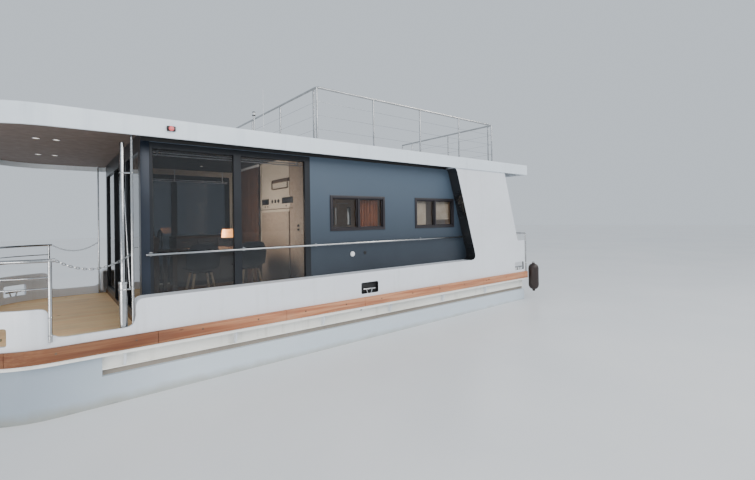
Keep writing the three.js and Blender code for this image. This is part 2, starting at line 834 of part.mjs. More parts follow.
function terraceRail(side) {
  const top = railTop - topRadius;
  const front = at(bowCentre.station) + railRadius;
  const end = side * (bowGateHalf + 40);
  const along = (startAngle, z, radius) => {
    const corner = bentTube(new BowCurve(side, z, startAngle), radius, 2 * bowSteps);
    return corner.add(bar([front, side * (bowCentre.y + 5), z], [front, end, z], radius, 8));
  };
  const onArc = (angle) => new BowCurve(side, 0, angle).getPoint(0).toArray();
  const feet = [onArc(gatePostAngle), onArc(cornerPostAngle), onArc(Math.PI / 2), [front, end]];
  const posts = feet.map(([x, y]) => bar([x, y, postFoot], [x, y, top + 4], railPostRadius, 12));
  const mids = midRails.heights.map((z) => along(gatePostAngle, z, midRails.radius));
  return join([along(0, top, topRadius), ...mids, ...posts]);
}

// The bow gate turns on a pin that stands on the sill
const bowHinge = [at(plateFront + skin / 2), bowGateHalf - 28];

function bowGate() {
  const [x, y] = bowHinge;
  const far = -bowGateHalf + 28;
  const low = sillTop + 40;
  const top = railTop - topRadius;
  const crossbars = [low, top].map((z) => bar([x, y + postRadius, z], [x, far - postRadius, z], postRadius));
  const ends = [y, far].map((end) => bar([x, end, low], [x, end, top], postRadius - 1));
  const frame = join([...crossbars, ...ends]);
  const pin = bar([x, y, sillTop + seat], [x, y, low - 5], 9);
  const stays = [0.25, 0.5, 0.75].map((share) => {
    const stay = y + (far - y) * share;
    return bar([x, stay, low], [x, stay, top], 7, 8);
  });
  return join([frame, pin, ...stays]);
}

const chain = { clear: 4, startDrop: 20, endRise: -4, sag: 235, radius: 6 };

function gateChain(side) {
  const start = [at(bowCentre.station + chain.clear), side * railSide, railTop - chain.startDrop];
  const end = [at(post.station - post.radius - chain.clear), side * post.y, railTop + chain.endRise];
  const [first, last] = [start, end].map((point) => new THREE.Vector3(...point));
  const middle = first.clone().add(last).multiplyScalar(0.5);
  middle.z -= chain.sag;
  return bentTube(new THREE.QuadraticBezierCurve3(first, middle, last), chain.radius, 16);
}

const grab = { start: 844, end: 6300, y: 1785, radius: 14, stems: 6, stemRadius: 8, stemInset: 60 };

function grabRail(side) {
  const y = side * grab.y;
  const reach = grab.end - grab.start - 2 * grab.stemInset;
  const stems = Array.from({ length: grab.stems }, (_, index) => {
    const x = at(grab.start + grab.stemInset + (reach * index) / (grab.stems - 1));
    return bar([x, y, grabHeight], [x, side * (wallSide + seat), grabHeight], grab.stemRadius, 8);
  });
  return join([bar([at(grab.end), y, grabHeight], [at(grab.start), y, grabHeight], grab.radius), ...stems]);
}

for (const [name, side] of [["port", 1], ["starboard", -1]]) {
  place(`${name}_roof_post`, roofPost(side), colours.stainless);
  place(`${name}_terrace_rail`, terraceRail(side), colours.stainless);
  place(`${name}_gate_chain`, gateChain(side), colours.stainless);
  place(`${name}_grab_rail`, grabRail(side), colours.stainless);
}
place("mooring_pole", mooringPole(), colours.stainless);
place("bow_gate", bowGate(), colours.stainless);

// Stern: rails, ladders, fenders

// The aft rails' posts stand against the aft edge of the deck plate
const sternRail = {
  start: 7850, station: plateAft + seat + postRadius, side: 1918, portEnd: 960, starboardEnd: -500,
  starboardPost: -1150, mids: [1380, 1650], midRadius: 8,
};

function aftRail(side) {
  const top = railTop - topRadius;
  const end = side > 0 ? sternRail.portEnd : sternRail.starboardEnd;
  const y = side * sternRail.side;
  const x = at(sternRail.station);
  const feet = side > 0 ? [y, end] : [y, sternRail.starboardPost, end];
  const posts = feet.map((foot) => bar([x, foot, plateBottom + 4], [x, foot, top], postRadius));
  const path = [[at(sternRail.start), y, top], [x, y, top], [x, end, top]];
  const mids = sternRail.mids.map((z) => bar([x, y, z], [x, end, z], sternRail.midRadius));
  return join([rail(path, topRadius), ...posts, ...mids]);
}

const swimRungs = { heights: [180, 390, 600, 835], radius: 12, stileTop: 850 };

function swimLadder() {
  const [x, hinge] = ladderHinge;
  const [near, far] = ladderSides;
  const pinReach = stileRadius + lug.gap + lug.thick - 5;
  const stiles = [near, far].map((y) => bar([x, y, hinge], [x, y, hinge + swimRungs.stileTop], stileRadius));
  const rungs = swimRungs.heights.map((rise) =>
    bar([x, near, hinge + rise], [x, far, hinge + rise], swimRungs.radius),
  );
  const pin = bar([x, near - pinReach, hinge], [x, far + pinReach, hinge], lug.bore - 0.5);
  return join([...stiles, ...rungs, pin]);
}

const climb = {
  foot: [8020, floorTop + seat], head: [7560, 4000], sides: [-1170, -1570], stile: 17, pad: 30,
  rungs: 8, firstRung: 1360, pitch: 280, rungRadius: 14, hookHalf: 14, hook: [3305, 3335],
};

function roofLadder() {
  const [footStation, footZ] = climb.foot;
  const [headStation, headZ] = climb.head;
  const xAt = (z) => at(footStation + ((headStation - footStation) * (z - footZ)) / (headZ - footZ));
  const uprights = climb.sides.flatMap((y) => [
    bar([at(footStation), y, footZ + 6], [at(headStation), y, headZ], climb.stile),
    bar([at(footStation), y, footZ], [at(footStation), y, footZ + 12], climb.pad, 12),
    box(
      [xAt(climb.hook[0] + 15), at(hatch.start + seat)],
      [y - climb.hookHalf, y + climb.hookHalf],
      climb.hook,
    ),
  ]);
  const rungs = Array.from({ length: climb.rungs }, (_, index) => {
    const z = climb.firstRung + index * climb.pitch;
    return bar([xAt(z), climb.sides[0], z], [xAt(z), climb.sides[1], z], climb.rungRadius);
  });
  return join([...uprights, ...rungs]);
}

const fenderSize = { station: 8350, y: 2020, z: 975, half: 320, radius: 108, tie: 7 };

function fender(side) {
  const { station, half, radius } = fenderSize;
  const upper = [[radius, half - 210], [98, half - 130], [60, half - 45], [26, half], [0, half]];
  const lower = upper.map(([r, h]) => [r, -h]).reverse();
  const body = new THREE.LatheGeometry([...lower, ...upper].map(([r, h]) => new THREE.Vector2(r, h)), 20);
  body.rotateX(Math.PI / 2);
  body.translate(at(station), side * fenderSize.y, fenderSize.z);
  const eye = [at(station), side * fenderSize.y, fenderSize.z + half - 10];
  const run = [at(sternRail.station) - eye[0], side * sternRail.side - eye[1]];
  const share = 1 - (postRadius + seat) / Math.hypot(...run);
  const knot = [eye[0] + run[0] * share, eye[1] + run[1] * share, eye[2]];
  return solid(body).add(bar(eye, knot, fenderSize.tie, 8));
}

place("port_aft_rail", aftRail(1), colours.stainless);
place("starboard_aft_rail", aftRail(-1), colours.stainless);
place("swim_ladder", swimLadder(), colours.stainless);
place("roof_ladder", roofLadder(), colours.stainless);
place("port_fender", fender(1), colours.black);
place("starboard_fender", fender(-1), colours.black);

// Outboard motor on its bracket behind the deck

const tiltAxis = { station: 8600, z: 1020 };
const steerStation = 8700;
const tiltPin = { radius: 12.1, bore: 12.5, half: 150 };
const steerPin = { radius: 16.5, bore: 17 };
const propAxis = 145;
const gearcase = { station: 8810, nose: 170, tail: 108 };

// A pin or its bore along the tilt axis, out to plus and minus a half length
function tiltBar(half, radius, sides = 24) {
  const x = at(tiltAxis.station);
  return bar([x, -half, tiltAxis.z], [x, half, tiltAxis.z], radius, sides);
}

// The arms run aft from under the deck plate to the transom that carries the motor
function outboardBracket() {
  const half = 190;
  const armThick = 40;
  const armBottom = plateBottom - 120;
  const transom = { fore: 8505, aft: 8555, bottom: 700, top: 985 };
  const frameEnd = beamStations.at(-1) + beamHalf;
  const arms = [-half, half - armThick].map((y) =>
    box([at(transom.fore + 1), at(plateAft + seat)], [y, y + armThick], [armBottom, plateTop]),
  );
  const root = box([at(plateAft + skin), at(plateAft + seat)], [-half, half], [armBottom, plateTop]);
  const foot = box([at(plateAft + 1), at(frameEnd + seat)], [-half, half], [armBottom, plateBottom - seat]);
  const board = box([at(transom.aft), at(transom.fore)], [-half, half], [transom.bottom, transom.top]);
  const ear = { inner: 120, outer: 144, radius: 28 };
  const ears = [-1, 1].flatMap((side) => [
    box(
      [at(tiltAxis.station + 25), at(transom.aft - 1)],
      [side * ear.inner, side * ear.outer],
      [900, tiltAxis.z],
    ),
    cut(tiltBar(ear.outer, ear.radius, 16), [tiltBar(ear.inner, ear.radius + 1, 16)]),
  ]);
  return cut(join([...arms, root, foot, board, ...ears]), [tiltBar(tiltPin.half, tiltPin.bore)]);
}

const swivel = { half: 60, low: 740, high: 1015, sleeve: 38, tube: 24, tubeHalf: 112 };

function steerBar(low, high, radius, sides = 24) {
  return bar([at(steerStation), 0, low], [at(steerStation), 0, high], radius, sides);
}

function outboardSwivel() {
  const { half, low, high, sleeve, tube, tubeHalf } = swivel;
  const block = box([at(steerStation), at(tiltAxis.station - 20)], [-half, half], [low, high]);
  const shell = [tiltBar(tubeHalf, tube, 12), block, steerBar(low - 10, tiltAxis.z, sleeve, 16)];
  const pin = tiltBar(tiltPin.half, tiltPin.radius);
  return cut(join([...shell, pin]), [steerBar(low - 40, high + 45, steerPin.bore)]);
}

// A plan outline that mirrors [station, half width, corner] corners, listed from aft to fore
function mirroredPlate(corners, heights) {
  const near = corners.map(([station, half, corner]) => [at(station), -half, corner]);
  const far = corners.map(([station, half, corner]) => [at(station), half, corner]).reverse();
  return planPlate([...near, ...far], heights);
}

const cowl = { corners: [[9040, 110, 70], [8610, 155, 55], [8560, 70, 35]], heights: [1080, 1475] };
const leg = { corners: [[8905, 20, 15], [8760, 45, 30]], heights: [180, 1090] };
const cavitationPlate = { corners: [[9000, 80, 60], [8730, 80, 60]], heights: [300, 312] };
const upperYoke = { aft: 8900, fore: 8680, half: 60, heights: [1030, 1090] };
const lowerYoke = { aft: 8890, fore: 8675, half: 50, heights: [680, 718] };
const skegCorners = [[8880, 30], [8860, 130], [8720, 130], [8830, 30]];

function outboardMotor() {
  const yokes = [upperYoke, lowerYoke].map(({ aft, fore, half, heights }) =>
    box([at(aft), at(fore)], [-half, half], heights),
  );
  const { station, nose, tail } = gearcase;
  const profile = [
    [0, -nose], [22, -nose + 15], [40, -nose + 70], [45, -20], [45, tail - 18], [40, tail], [0, tail],
  ].map(([r, h]) => new THREE.Vector2(r, h));
  const torpedo = new THREE.LatheGeometry(profile, 16);
  torpedo.rotateZ(Math.PI / 2);
  torpedo.translate(at(station), 0, propAxis);
  const plates = [cowl, leg, cavitationPlate].map(({ corners, heights }) => mirroredPlate(corners, heights));
  const skeg = sidePlate(skegCorners.map(([place, z]) => [at(place), z]), [-7, 7]);
  return join([steerBar(690, 1060, steerPin.radius), ...plates, ...yokes, solid(torpedo), skeg]);
}

const hub = { radius: 34, length: 70 };
const blade = {
  pitch: 0.45, thick: 6, corners: [[-16, 20], [-42, 75, 18], [-10, 112, 18], [34, 100, 18], [18, 20]],
};

function propeller() {
  const start = gearcase.station + gearcase.tail + seat;
  const blades = [0, 1, 2].map((index) => {
    const shape = new THREE.ExtrudeGeometry(outline(blade.corners), {
      depth: blade.thick, bevelEnabled: false, curveSegments: cornerSteps,
    });
    shape.translate(0, 0, -blade.thick / 2);
    shape.rotateY(Math.PI / 2 - blade.pitch);
    shape.rotateX((index * Math.PI * 2) / 3);
    shape.translate(at(start + hub.length / 2), 0, propAxis);
    return solid(shape);
  });
  const boss = bar([at(start), 0, propAxis], [at(start + hub.length), 0, propAxis], hub.radius, 16);
  return join([boss, ...blades]);
}

place("outboard_bracket", outboardBracket(), colours.black);
place("outboard_swivel", outboardSwivel(), colours.black);
place("outboard_motor", outboardMotor(), colours.black);
place("propeller", propeller(), colours.black);

// Saloon

const helm = { station: 1500, y: -1230, z: 1960, radius: 185, shaft: 13, bore: 13.5 };

const desk = { fore: 1050, aft: 1480, slope: 1330, top: 2120, edge: 2010, inner: -880, outer: -1640 };

function helmConsole() {
  const { fore, aft, slope, top, edge, inner, outer } = desk;
  const cabinet = sidePlate(
    [
      [at(aft), wallBottom], [at(aft), edge, 20], [at(slope), top, 20],
      [at(fore), top, 20], [at(fore), wallBottom],
    ],
    [outer, inner],
  );
  return cut(cabinet, [bar([at(aft + 10), helm.y, helm.z], [at(aft - 80), helm.y, helm.z], helm.bore, 16)]);
}

const wheel = { rim: 13, spoke: 8, hub: 34, stand: 60 };

function helmWheel() {
  const { station, y, z, radius, shaft } = helm;
  const axle = (aft, fore, size) => bar([at(station + aft), y, z], [at(station + fore), y, z], size, 16);
  const rim = new THREE.TorusGeometry(radius, wheel.rim, 8, 28);
  rim.rotateY(Math.PI / 2);
  rim.translate(at(station + wheel.stand), y, z);
  const spokes = [0, 1, 2].map((index) => {
    const angle = (index * Math.PI * 2) / 3 + Math.PI / 2;
    const tip = [at(station + wheel.stand), y + Math.cos(angle) * radius, z + Math.sin(angle) * radius];
    return bar([at(station + wheel.stand - 10), y, z], tip, wheel.spoke, 8);
  });
  return join([solid(rim), ...spokes, axle(wheel.stand + 6, -12, wheel.hub), axle(0, -80, shaft)]);
}

const table = {
  fore: 1250, aft: 2600, inner: 235, outer: 985, top: 1885, thick: 30, legHalf: 28, legInset: 78,
};

function diningTable() {
  const { fore, aft, inner, outer, top, thick, legHalf, legInset } = table;
  const legs = [fore + legInset, aft - legInset].flatMap((station) =>
    [inner + legInset, outer - legInset].map((y) =>
      box(
        [at(station + legHalf), at(station - legHalf)],
        [y - legHalf, y + legHalf],
        [wallBottom, top - thick + 5],
      ),
    ),
  );
  return join([box([at(aft), at(fore)], [inner, outer], [top - thick, top]), ...legs]);
}

const chairSize = {
  y: 1270, seat: floorTop + 520, half: 215, depth: 205, back: 370, shell: 30, bend: 110,
  legRadius: 14, legFoot: [210, 190], legHead: [120, 110],
};

// A shell chair on four splayed legs, its back towards the window
function chair(station) {
  const { y, seat: z, half, depth, back, shell, bend: corner, legRadius, legFoot, legHead } = chairSize;
  const seatPad = box([at(station + half), at(station - half)], [y - depth, y + depth], [z - 15, z + 20]);
  const backrest = sidePlate(
    [
      [at(station + half), z - 10], [at(station + half - 15), z + back, corner],
      [at(station - half + 15), z + back, corner], [at(station - half), z - 10],
    ],
    [y + half - shell, y + half],
  );
  const legs = [-1, 1].flatMap((along) =>
    [-1, 1].map((across) =>
      bar(
        [at(station + along * legFoot[0]), y + across * legFoot[1], wallBottom + 3],
        [at(station + along * legHead[0]), y + across * legHead[1], z - 5],
        legRadius, 8,
      ),
    ),
  );
  const frame = box([at(station + 130), at(station - 130)], [y - 120, y + 120], [z - 30, z - 10]);
  const below = box([at(station + 400), at(station - 400)], [y - 400, y + 400], [plateTop, wallBottom]);
  return cut(join([seatPad, backrest, frame, ...legs]), [below]);
}

const galley = { fore: 1800, aft: 2890, inner: -1060, outer: -1640, top: 2020, thick: 30 };

function galleyUnit() {
  const { fore, aft, inner, outer, top, thick } = galley;
  const cabinet = box([at(aft), at(fore)], [outer, inner], [wallBottom, top - thick]);
  return cabinet.add(box([at(aft + 5), at(fore - 10)], [outer - 5, inner + 20], [top - thick - 5, top]));
}

const drape = { fore: 2935, aft: 2985, sides: [-1190, -160], foot: 1140, top: 3265 };
const drapeTrack = { fore: 2948, aft: 2972, sides: [-1220, -130] };

// The drawn curtain of the partition's doorway, under its track on the ceiling
function curtain() {
  const { fore, aft, sides, foot, top } = drape;
  const track = box([at(drapeTrack.aft), at(drapeTrack.fore)], drapeTrack.sides, [top - 5, wallTop]);
  return track.add(box([at(aft), at(fore)], sides, [foot, top]));
}

const chairStations = [["fore", 1560], ["aft", 2200]];

place("helm_console", helmConsole(), colours.beige);
place("helm_wheel", helmWheel(), colours.black);
place("dining_table", diningTable(), colours.oak);
for (const [name, station] of chairStations) place(`chair_${name}`, chair(station), colours.grey);
place("galley_unit", galleyUnit(), colours.beige);
place("saloon_curtain", curtain(), colours.brown);

export default boat;
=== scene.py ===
import math

import bmesh
import bpy
import numpy as np
from mathutils import Matrix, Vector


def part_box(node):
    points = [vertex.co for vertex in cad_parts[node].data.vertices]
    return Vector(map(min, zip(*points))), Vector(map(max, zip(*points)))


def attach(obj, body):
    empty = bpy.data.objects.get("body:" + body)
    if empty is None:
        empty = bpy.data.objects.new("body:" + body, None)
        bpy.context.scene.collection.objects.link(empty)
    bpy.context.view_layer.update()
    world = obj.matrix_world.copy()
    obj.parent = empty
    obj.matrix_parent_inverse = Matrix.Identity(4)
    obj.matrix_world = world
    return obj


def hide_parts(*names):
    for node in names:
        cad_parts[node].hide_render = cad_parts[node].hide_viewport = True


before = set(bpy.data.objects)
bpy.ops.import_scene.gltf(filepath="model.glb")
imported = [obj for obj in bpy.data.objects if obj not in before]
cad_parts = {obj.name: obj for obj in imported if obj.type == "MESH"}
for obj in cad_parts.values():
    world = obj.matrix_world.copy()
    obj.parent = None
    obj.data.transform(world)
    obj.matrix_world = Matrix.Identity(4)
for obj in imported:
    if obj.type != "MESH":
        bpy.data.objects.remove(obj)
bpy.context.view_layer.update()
scene = bpy.context.scene
print("frame loaded:", len(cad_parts), "nodes")

# Metres in the boat's frame: +X is the bow, +Y is port, +Z is up. Stations run aft from the forward gate
# post.
stationZero = 4.110
waterline = 0.420
# what keeps two faces apart that would touch
hairline = 0.0003
bothSides = ((1, "port"), (-1, "starboard"))
up, down = (0, 0, 1), (0, 0, -1)


def at(station):
    return stationZero - station


# Shapes. Each is a pair: its points, and a list of face arrays.

def gridFaces(rows, columns, closedRows=False, closedColumns=False):
    # quads between neighbours of a grid of points numbered row by row
    i = np.arange(rows if closedRows else rows - 1)[:, None]
    j = np.arange(columns if closedColumns else columns - 1)[None, :]
    i2, j2 = (i + 1) % rows, (j + 1) % columns
    corners = [i * columns + j, i * columns + j2, i2 * columns + j2, i2 * columns + j]
    return np.stack([np.broadcast_to(c, (i.size, j.size)) for c in corners], -1).reshape(-1, 4)


def capped(rows, columns):
    # a skin over rings of points, with a face at each end
    first = np.arange(columns)[None]
    return [gridFaces(rows, columns, closedColumns=True), first[:, ::-1], (rows - 1) * columns + first]


def crossed(start, rows, columns):
    # u from start to 1 down the rows, v from 0 to 1 along the columns
    return np.linspace(start, 1, rows)[:, None], np.linspace(0, 1, columns)[None, :]


def openSheet(*parts):
    # a sheet over a grid of points, from its x, y and z
    grid = np.stack(np.broadcast_arrays(*parts), -1)
    return grid.reshape(-1, 3), [gridFaces(*grid.shape[:2])]


def merged(shapes):
    points, faces, start = [], [], 0
    for verts, groups in shapes:
        points.append(verts)
        faces += [group + start for group in groups]
        start += len(verts)
    return np.concatenate(points), faces


def unit(vectors):
    vectors = np.asarray(vectors, float)
    return vectors / np.linalg.norm(vectors, axis=-1, keepdims=True)


def squareTo(along):
    # two directions square to this one and to each other
    side = unit(np.cross(along, (0.31, 0.52, 0.79)))
    return side, np.cross(side, along)


def turns(count):
    return np.linspace(0, 2 * math.pi, count, endpoint=False)


def tube(path, radius, sides=16):
    # point + r (cos a * side + sin a * rise)
    path = np.asarray(path, float)
    side, rise = squareTo(unit(np.gradient(path, axis=0)))
    angle = turns(sides)[None, :, None]
    radii = np.broadcast_to(radius, len(path))[:, None, None]
    rings = path[:, None] + radii * (np.cos(angle) * side[:, None] + np.sin(angle) * rise[:, None])
    return rings.reshape(-1, 3), capped(len(path), sides)


def bar(start, end, radius, sides=16):
    return tube([start, end], radius, sides)


def bend(before, corner, after, reach, steps):
    # P + c (d1 (1 - t)^2 + d2 t^2), with d1 and d2 from the corner P towards its neighbours
    t = np.linspace(0, 1, steps + 1)[:, None]
    return corner + reach * (unit(before - corner) * (1 - t) ** 2 + unit(after - corner) * t ** 2)


def filleted(points, reach, steps=8):
    points = np.asarray(points, float)
    bends = [bend(*trio, reach, steps) for trio in zip(points[:-2], points[1:-1], points[2:])]
    return np.concatenate([points[:1], *bends, points[-1:]])


def roundedOutline(corners, steps=6):
    # a closed outline of corners (u, v, reach)
    corners = np.asarray(corners, float)
    places = corners[:, :2]
    trios = zip(np.roll(places, 1, 0), places, np.roll(places, -1, 0))
    return np.concatenate([bend(*trio, reach, steps) for trio, reach in zip(trios, corners[:, 2])])


def roundedBox(first, second, radius, steps=2):
    # a sphere's directions with each eighth pushed out to its corner: sign * (half - r) + r * direction
    low, high = np.minimum(first, second), np.maximum(first, second)
    half, centre = (high - low) / 2, (high + low) / 2
    radius = min(radius, 0.98 * half.min())
    quarter = np.linspace(0, math.pi / 2, steps + 1)
    angle = np.concatenate([quarter + k * math.pi / 2 for k in range(4)])
    tilt = np.concatenate([quarter - math.pi / 2, quarter])[:, None]
    count = steps + 1
    signs = np.ones((2 * count, 4 * count, 3))
    signs[..., 0] = np.repeat([1, -1, -1, 1], count)
    signs[..., 1] = np.repeat([1, 1, -1, -1], count)
    signs[..., 2] = np.repeat([-1, 1], count)[:, None]
    parts = np.cos(tilt) * np.cos(angle), np.cos(tilt) * np.sin(angle), np.sin(tilt)
    direction = np.stack(np.broadcast_arrays(*parts), -1)
    verts = (centre + signs * (half - radius) + radius * direction).reshape(-1, 3)
    corners = np.arange(4)[None] * count
    lastRow = (2 * count - 1) * 4 * count
    return verts, [gridFaces(2 * count, 4 * count, closedColumns=True), corners[:, ::-1], lastRow + corners]


def block(centre, half, radius):
    return roundedBox(np.subtract(centre, half), np.add(centre, half), radius)


def revolved(profile, origin, axis=up, sides=32):
    # origin + h * axis + r (cos a * side + sin a * rise), for each (r, h) of the profile
    profile = np.asarray(profile, float)[:, :, None, None]
    axis = unit(axis)
    side, rise = squareTo(axis)
    angle = turns(sides)[None, :, None]
    ring = np.cos(angle) * side - np.sin(angle) * rise
    verts = np.asarray(origin) + profile[:, 1] * axis + profile[:, 0] * ring
    return verts.reshape(-1, 3), [gridFaces(len(profile), sides, closedColumns=True)]


def loop(centre, major, minor, wire, sides=(20, 8)):
    # centre + cos a (A + r cos b) * long + sin a (B + r cos b) * short + r sin b * axis, A and B half sizes
    long, short = unit(major), unit(minor)
    a, b = turns(sides[0])[:, None, None], turns(sides[1])[None, :, None]
    out = wire * np.cos(b)
    verts = np.cos(a) * (np.linalg.norm(major) + out) * long + np.sin(a) * (np.linalg.norm(minor)
                                                                            + out) * short
    verts = np.asarray(centre) + verts + wire * np.sin(b) * np.cross(long, short)
    return verts.reshape(-1, 3), [gridFaces(*sides, True, True)]


def ring(centre, radius, wire, sides=(20, 8)):
    return loop(centre, (radius, 0, 0), (0, radius, 0), wire, sides)


def disc(centre, axis, radius, depth, round=0.25, sides=24):
    # a short turned block from centre to centre + depth * axis, its outer edge rounded by a share of depth
    edge = depth * round
    rim = [(radius - edge + edge * math.cos(a), depth - edge * (1 - math.sin(a)))
           for a in np.linspace(0, math.pi / 2, 4)]
    return revolved([(0, 0), (radius, 0), *rim, (0, depth)], centre, axis, sides)


def extruded(outline, depth, place):
    # a closed outline of (u, v) points at w = 0 and w = depth; place turns (u, v, w) into frame points
    ends = [np.column_stack([outline, np.full(len(outline), w)]) for w in (0, depth)]
    return place(np.concatenate(ends)), capped(2, len(outline))


def sweptBoard(path, outward, thick, z0, z1, edge):
    # a rectangle with rounded edges along a plan path, from the path inwards by thick
    path, outward = np.vstack(path), np.vstack(outward)
    corners = roundedOutline([(0, z0, edge), (0, z1, edge), (-thick, z1, edge), (-thick, z0, edge)], 2)
    plan = path[:, None] + corners[None, :, :1] * outward[:, None]
    heights = np.broadcast_to(corners[None, :, 1:], (len(path), len(corners), 1))
    return np.concatenate([plan, heights], -1).reshape(-1, 3), capped(len(path), len(corners))


def lofted(rings):
    rings = np.asarray(rings, float)
    return rings.reshape(-1, 3), capped(*rings.shape[:2])


# the bow corners' centre: a station and a half width
bow = {"station": 0.05, "y": 1.135}


def bowPath(radius, side, start=0.0, end=90.0, steps=24):
    # centre + radius (sin a, cos a) in plan, a in degrees off the side, with the outward directions
    a = np.radians(np.linspace(start, end, steps + 1))
    outward = np.column_stack([np.sin(a), side * np.cos(a)])
    return np.array([at(bow["station"]), side * bow["y"]]) + radius * outward, outward


def makePiece(name, shapes, material, replaces=(), body="boat", smooth=40, solidify=None, bevel=None):
    # shapes is one shape or a list of them
    verts, groups = merged(shapes) if isinstance(shapes, list) else shapes
    mesh = bpy.data.meshes.new(name)
    mesh.from_pydata(verts.tolist(), [], [face for group in groups for face in group.tolist()])
    cleaned = bmesh.new()
    cleaned.from_mesh(mesh)
    bmesh.ops.remove_doubles(cleaned, verts=cleaned.verts, dist=1e-6)
    bmesh.ops.recalc_face_normals(cleaned, faces=cleaned.faces)
    cleaned.to_mesh(mesh)
    cleaned.free()
    return finishPiece(name, mesh, [material], replaces, body, smooth, solidify, bevel)


def finishPiece(name, mesh, materials, replaces, body, smooth, solidify=None, bevel=None):
    piece = bpy.data.objects.new(name, mesh)
    scene.collection.objects.link(piece)
    for material in materials:
        mesh.materials.append(material)
    mesh.shade_smooth()
    mesh.set_sharp_from_angle(angle=math.radians(smooth))
    if solidify:
        modifier = piece.modifiers.new("thickness", "SOLIDIFY")
        modifier.thickness = solidify
        modifier.offset = 0
    if bevel:
        modifier = piece.modifiers.new("edges", "BEVEL")
        modifier.width = bevel
        modifier.segments = 2
        modifier.limit_method = "ANGLE"
        modifier.angle_limit = math.radians(30)
        modifier.harden_normals = True
    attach(piece, body)
    if replaces:
        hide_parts(*replaces)
    return piece


def dressedNode(node, materials, choose=None, body="boat", bevel=0.003):
    # the node's own solid, welded, with soft edges; choose gives a face's material from (centre, normal)
    mesh = bpy.data.meshes.new(node + "_skin")
    cleaned = bmesh.new()
    cleaned.from_mesh(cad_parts[node].data)
    bmesh.ops.remove_doubles(cleaned, verts=cleaned.verts, dist=2e-5)
    bmesh.ops.dissolve_limit(cleaned, angle_limit=math.radians(0.4), verts=cleaned.verts, edges=cleaned.edges)
    # a bevel on a concave face can fold it over itself
    bmesh.ops.connect_verts_concave(cleaned, faces=cleaned.faces[:])
    cleaned.to_mesh(mesh)
    cleaned.free()
    finishPiece(node + "_skin", mesh, materials, (node,), body, 35, bevel=bevel)
    if choose:
        centres, normals = np.zeros((2, len(mesh.polygons) * 3))
        mesh.polygons.foreach_get("center", centres)
        mesh.polygons.foreach_get("normal", normals)
        picks = choose(centres.reshape(-1, 3), normals.reshape(-1, 3)).astype(np.int32)
        mesh.polygons.foreach_set("material_index", picks)


# Materials. Groups give masks, colours and heights; each shader stays in its own material.

def linear(red, green, blue):
    # display values from 0 to 255 as linear light
    return (*(((np.array([red, green, blue]) / 255 + 0.055) / 1.055) ** 2.4), 1.0)


def lighter(color, times, plus=0.0):
    return (*(min(1, c * times + plus) for c in color[:3]), 1)


def addNode(tree, kind, inputs=None, **settings):
    node = tree.nodes.new("ShaderNode" + kind)
    for key, value in settings.items():
        setattr(node, key, value)
    for key, value in (inputs or {}).items():
        if isinstance(value, bpy.types.NodeSocket):
            tree.links.new(value, node.inputs[key])
        else:
            node.inputs[key].default_value = value
    return node


def makeGroup(name, inputs, outputs, build):
    tree = bpy.data.node_groups.new(name, "ShaderNodeTree")
    for label, kind, value in inputs:
        socket = tree.interface.new_socket(label, in_out="INPUT", socket_type="NodeSocket" + kind)
        if value is not None:
            socket.default_value = value
    for label, kind in outputs:
        tree.interface.new_socket(label, in_out="OUTPUT", socket_type="NodeSocket" + kind)
    entry, leave = tree.nodes.new("NodeGroupInput"), tree.nodes.new("NodeGroupOutput")
    for label, socket in build(entry.outputs).items():
        tree.links.new(socket, leave.inputs[label])
    return tree


def mapped(vector, scale):
    return addNode(vector.id_data, "Mapping", {"Vector": vector, "Scale": scale}).outputs["Vector"]


def ranged(value, low, high, toLow=0.0, toHigh=1.0):
    limits = {"Value": value, "From Min": low, "From Max": high, "To Min": toLow, "To Max": toHigh}
    return addNode(value.id_data, "MapRange", limits).outputs["Result"]


def share(mask, most):
    return ranged(mask, 0, 1, 0, most)


def mixed(factor, first, second, blend="MIX"):
    inputs = {0: factor, 6: first, 7: second}
    return addNode(factor.id_data, "Mix", inputs, data_type="RGBA", blend_type=blend).outputs[2]


def worked(operation, first, *second):
    return addNode(first.id_data, "Math", dict(enumerate((first, *second))), operation=operation).outputs[0]


def axisOf(vector, axis):
    return addNode(vector.id_data, "SeparateXYZ", {"Vector": vector}).outputs[axis]


def noiseAt(place, scale, detail=3.0, stretch=(1, 1, 1), **more):
    inputs = {"Vector": mapped(place, stretch), "Scale": scale, "Detail": detail, **more}
    return addNode(place.id_data, "TexNoise", inputs).outputs["Fac"]


def blotchGroup(given):
    # slow noise, stretched by the scale vector, cut between Low and High
    noise = noiseAt(given["Vector"], 1.0, 5.0, given["Stretch"], Roughness=0.6)
    return {"Mask": ranged(noise, given["Low"], given["High"])}


def timberGroup(given):
    # long fibres along X, broad growth bands and round knots, over the light and dark colours
    vector, dark = given["Vector"], given["Dark"]
    fibres = noiseAt(vector, 1.0, 6.0, (3, 120, 120))
    bands = noiseAt(vector, 1.0, 3.0, (0.9, 14, 26), Distortion=0.6)
    cells = addNode(vector.id_data, "TexVoronoi", {"Vector": mapped(vector, (2.6, 5.0, 7.5)), "Scale": 1.0})
    knots = ranged(cells.outputs["Distance"], 0.10, 0.03)
    tone = mixed(ranged(bands, 0.38, 0.66), given["Light"], dark)
    tone = mixed(ranged(fibres, 0.45, 0.75, 0.0, 0.45), tone, dark)
    return {"Color": mixed(knots, tone, given["Knot"]), "Height": fibres}


blotches = makeGroup("blotches", [("Vector", "Vector", None), ("Stretch", "Vector", (1, 1, 1)),
                                  ("Low", "Float", 0.4), ("High", "Float", 0.7)], [("Mask", "Float")],
                     blotchGroup)
timber = makeGroup("timber",
                   [("Vector", "Vector", None), *((key, "Color", None) for key in ("Light", "Dark", "Knot"))],
                   [("Color", "Color"), ("Height", "Float")], timberGroup)


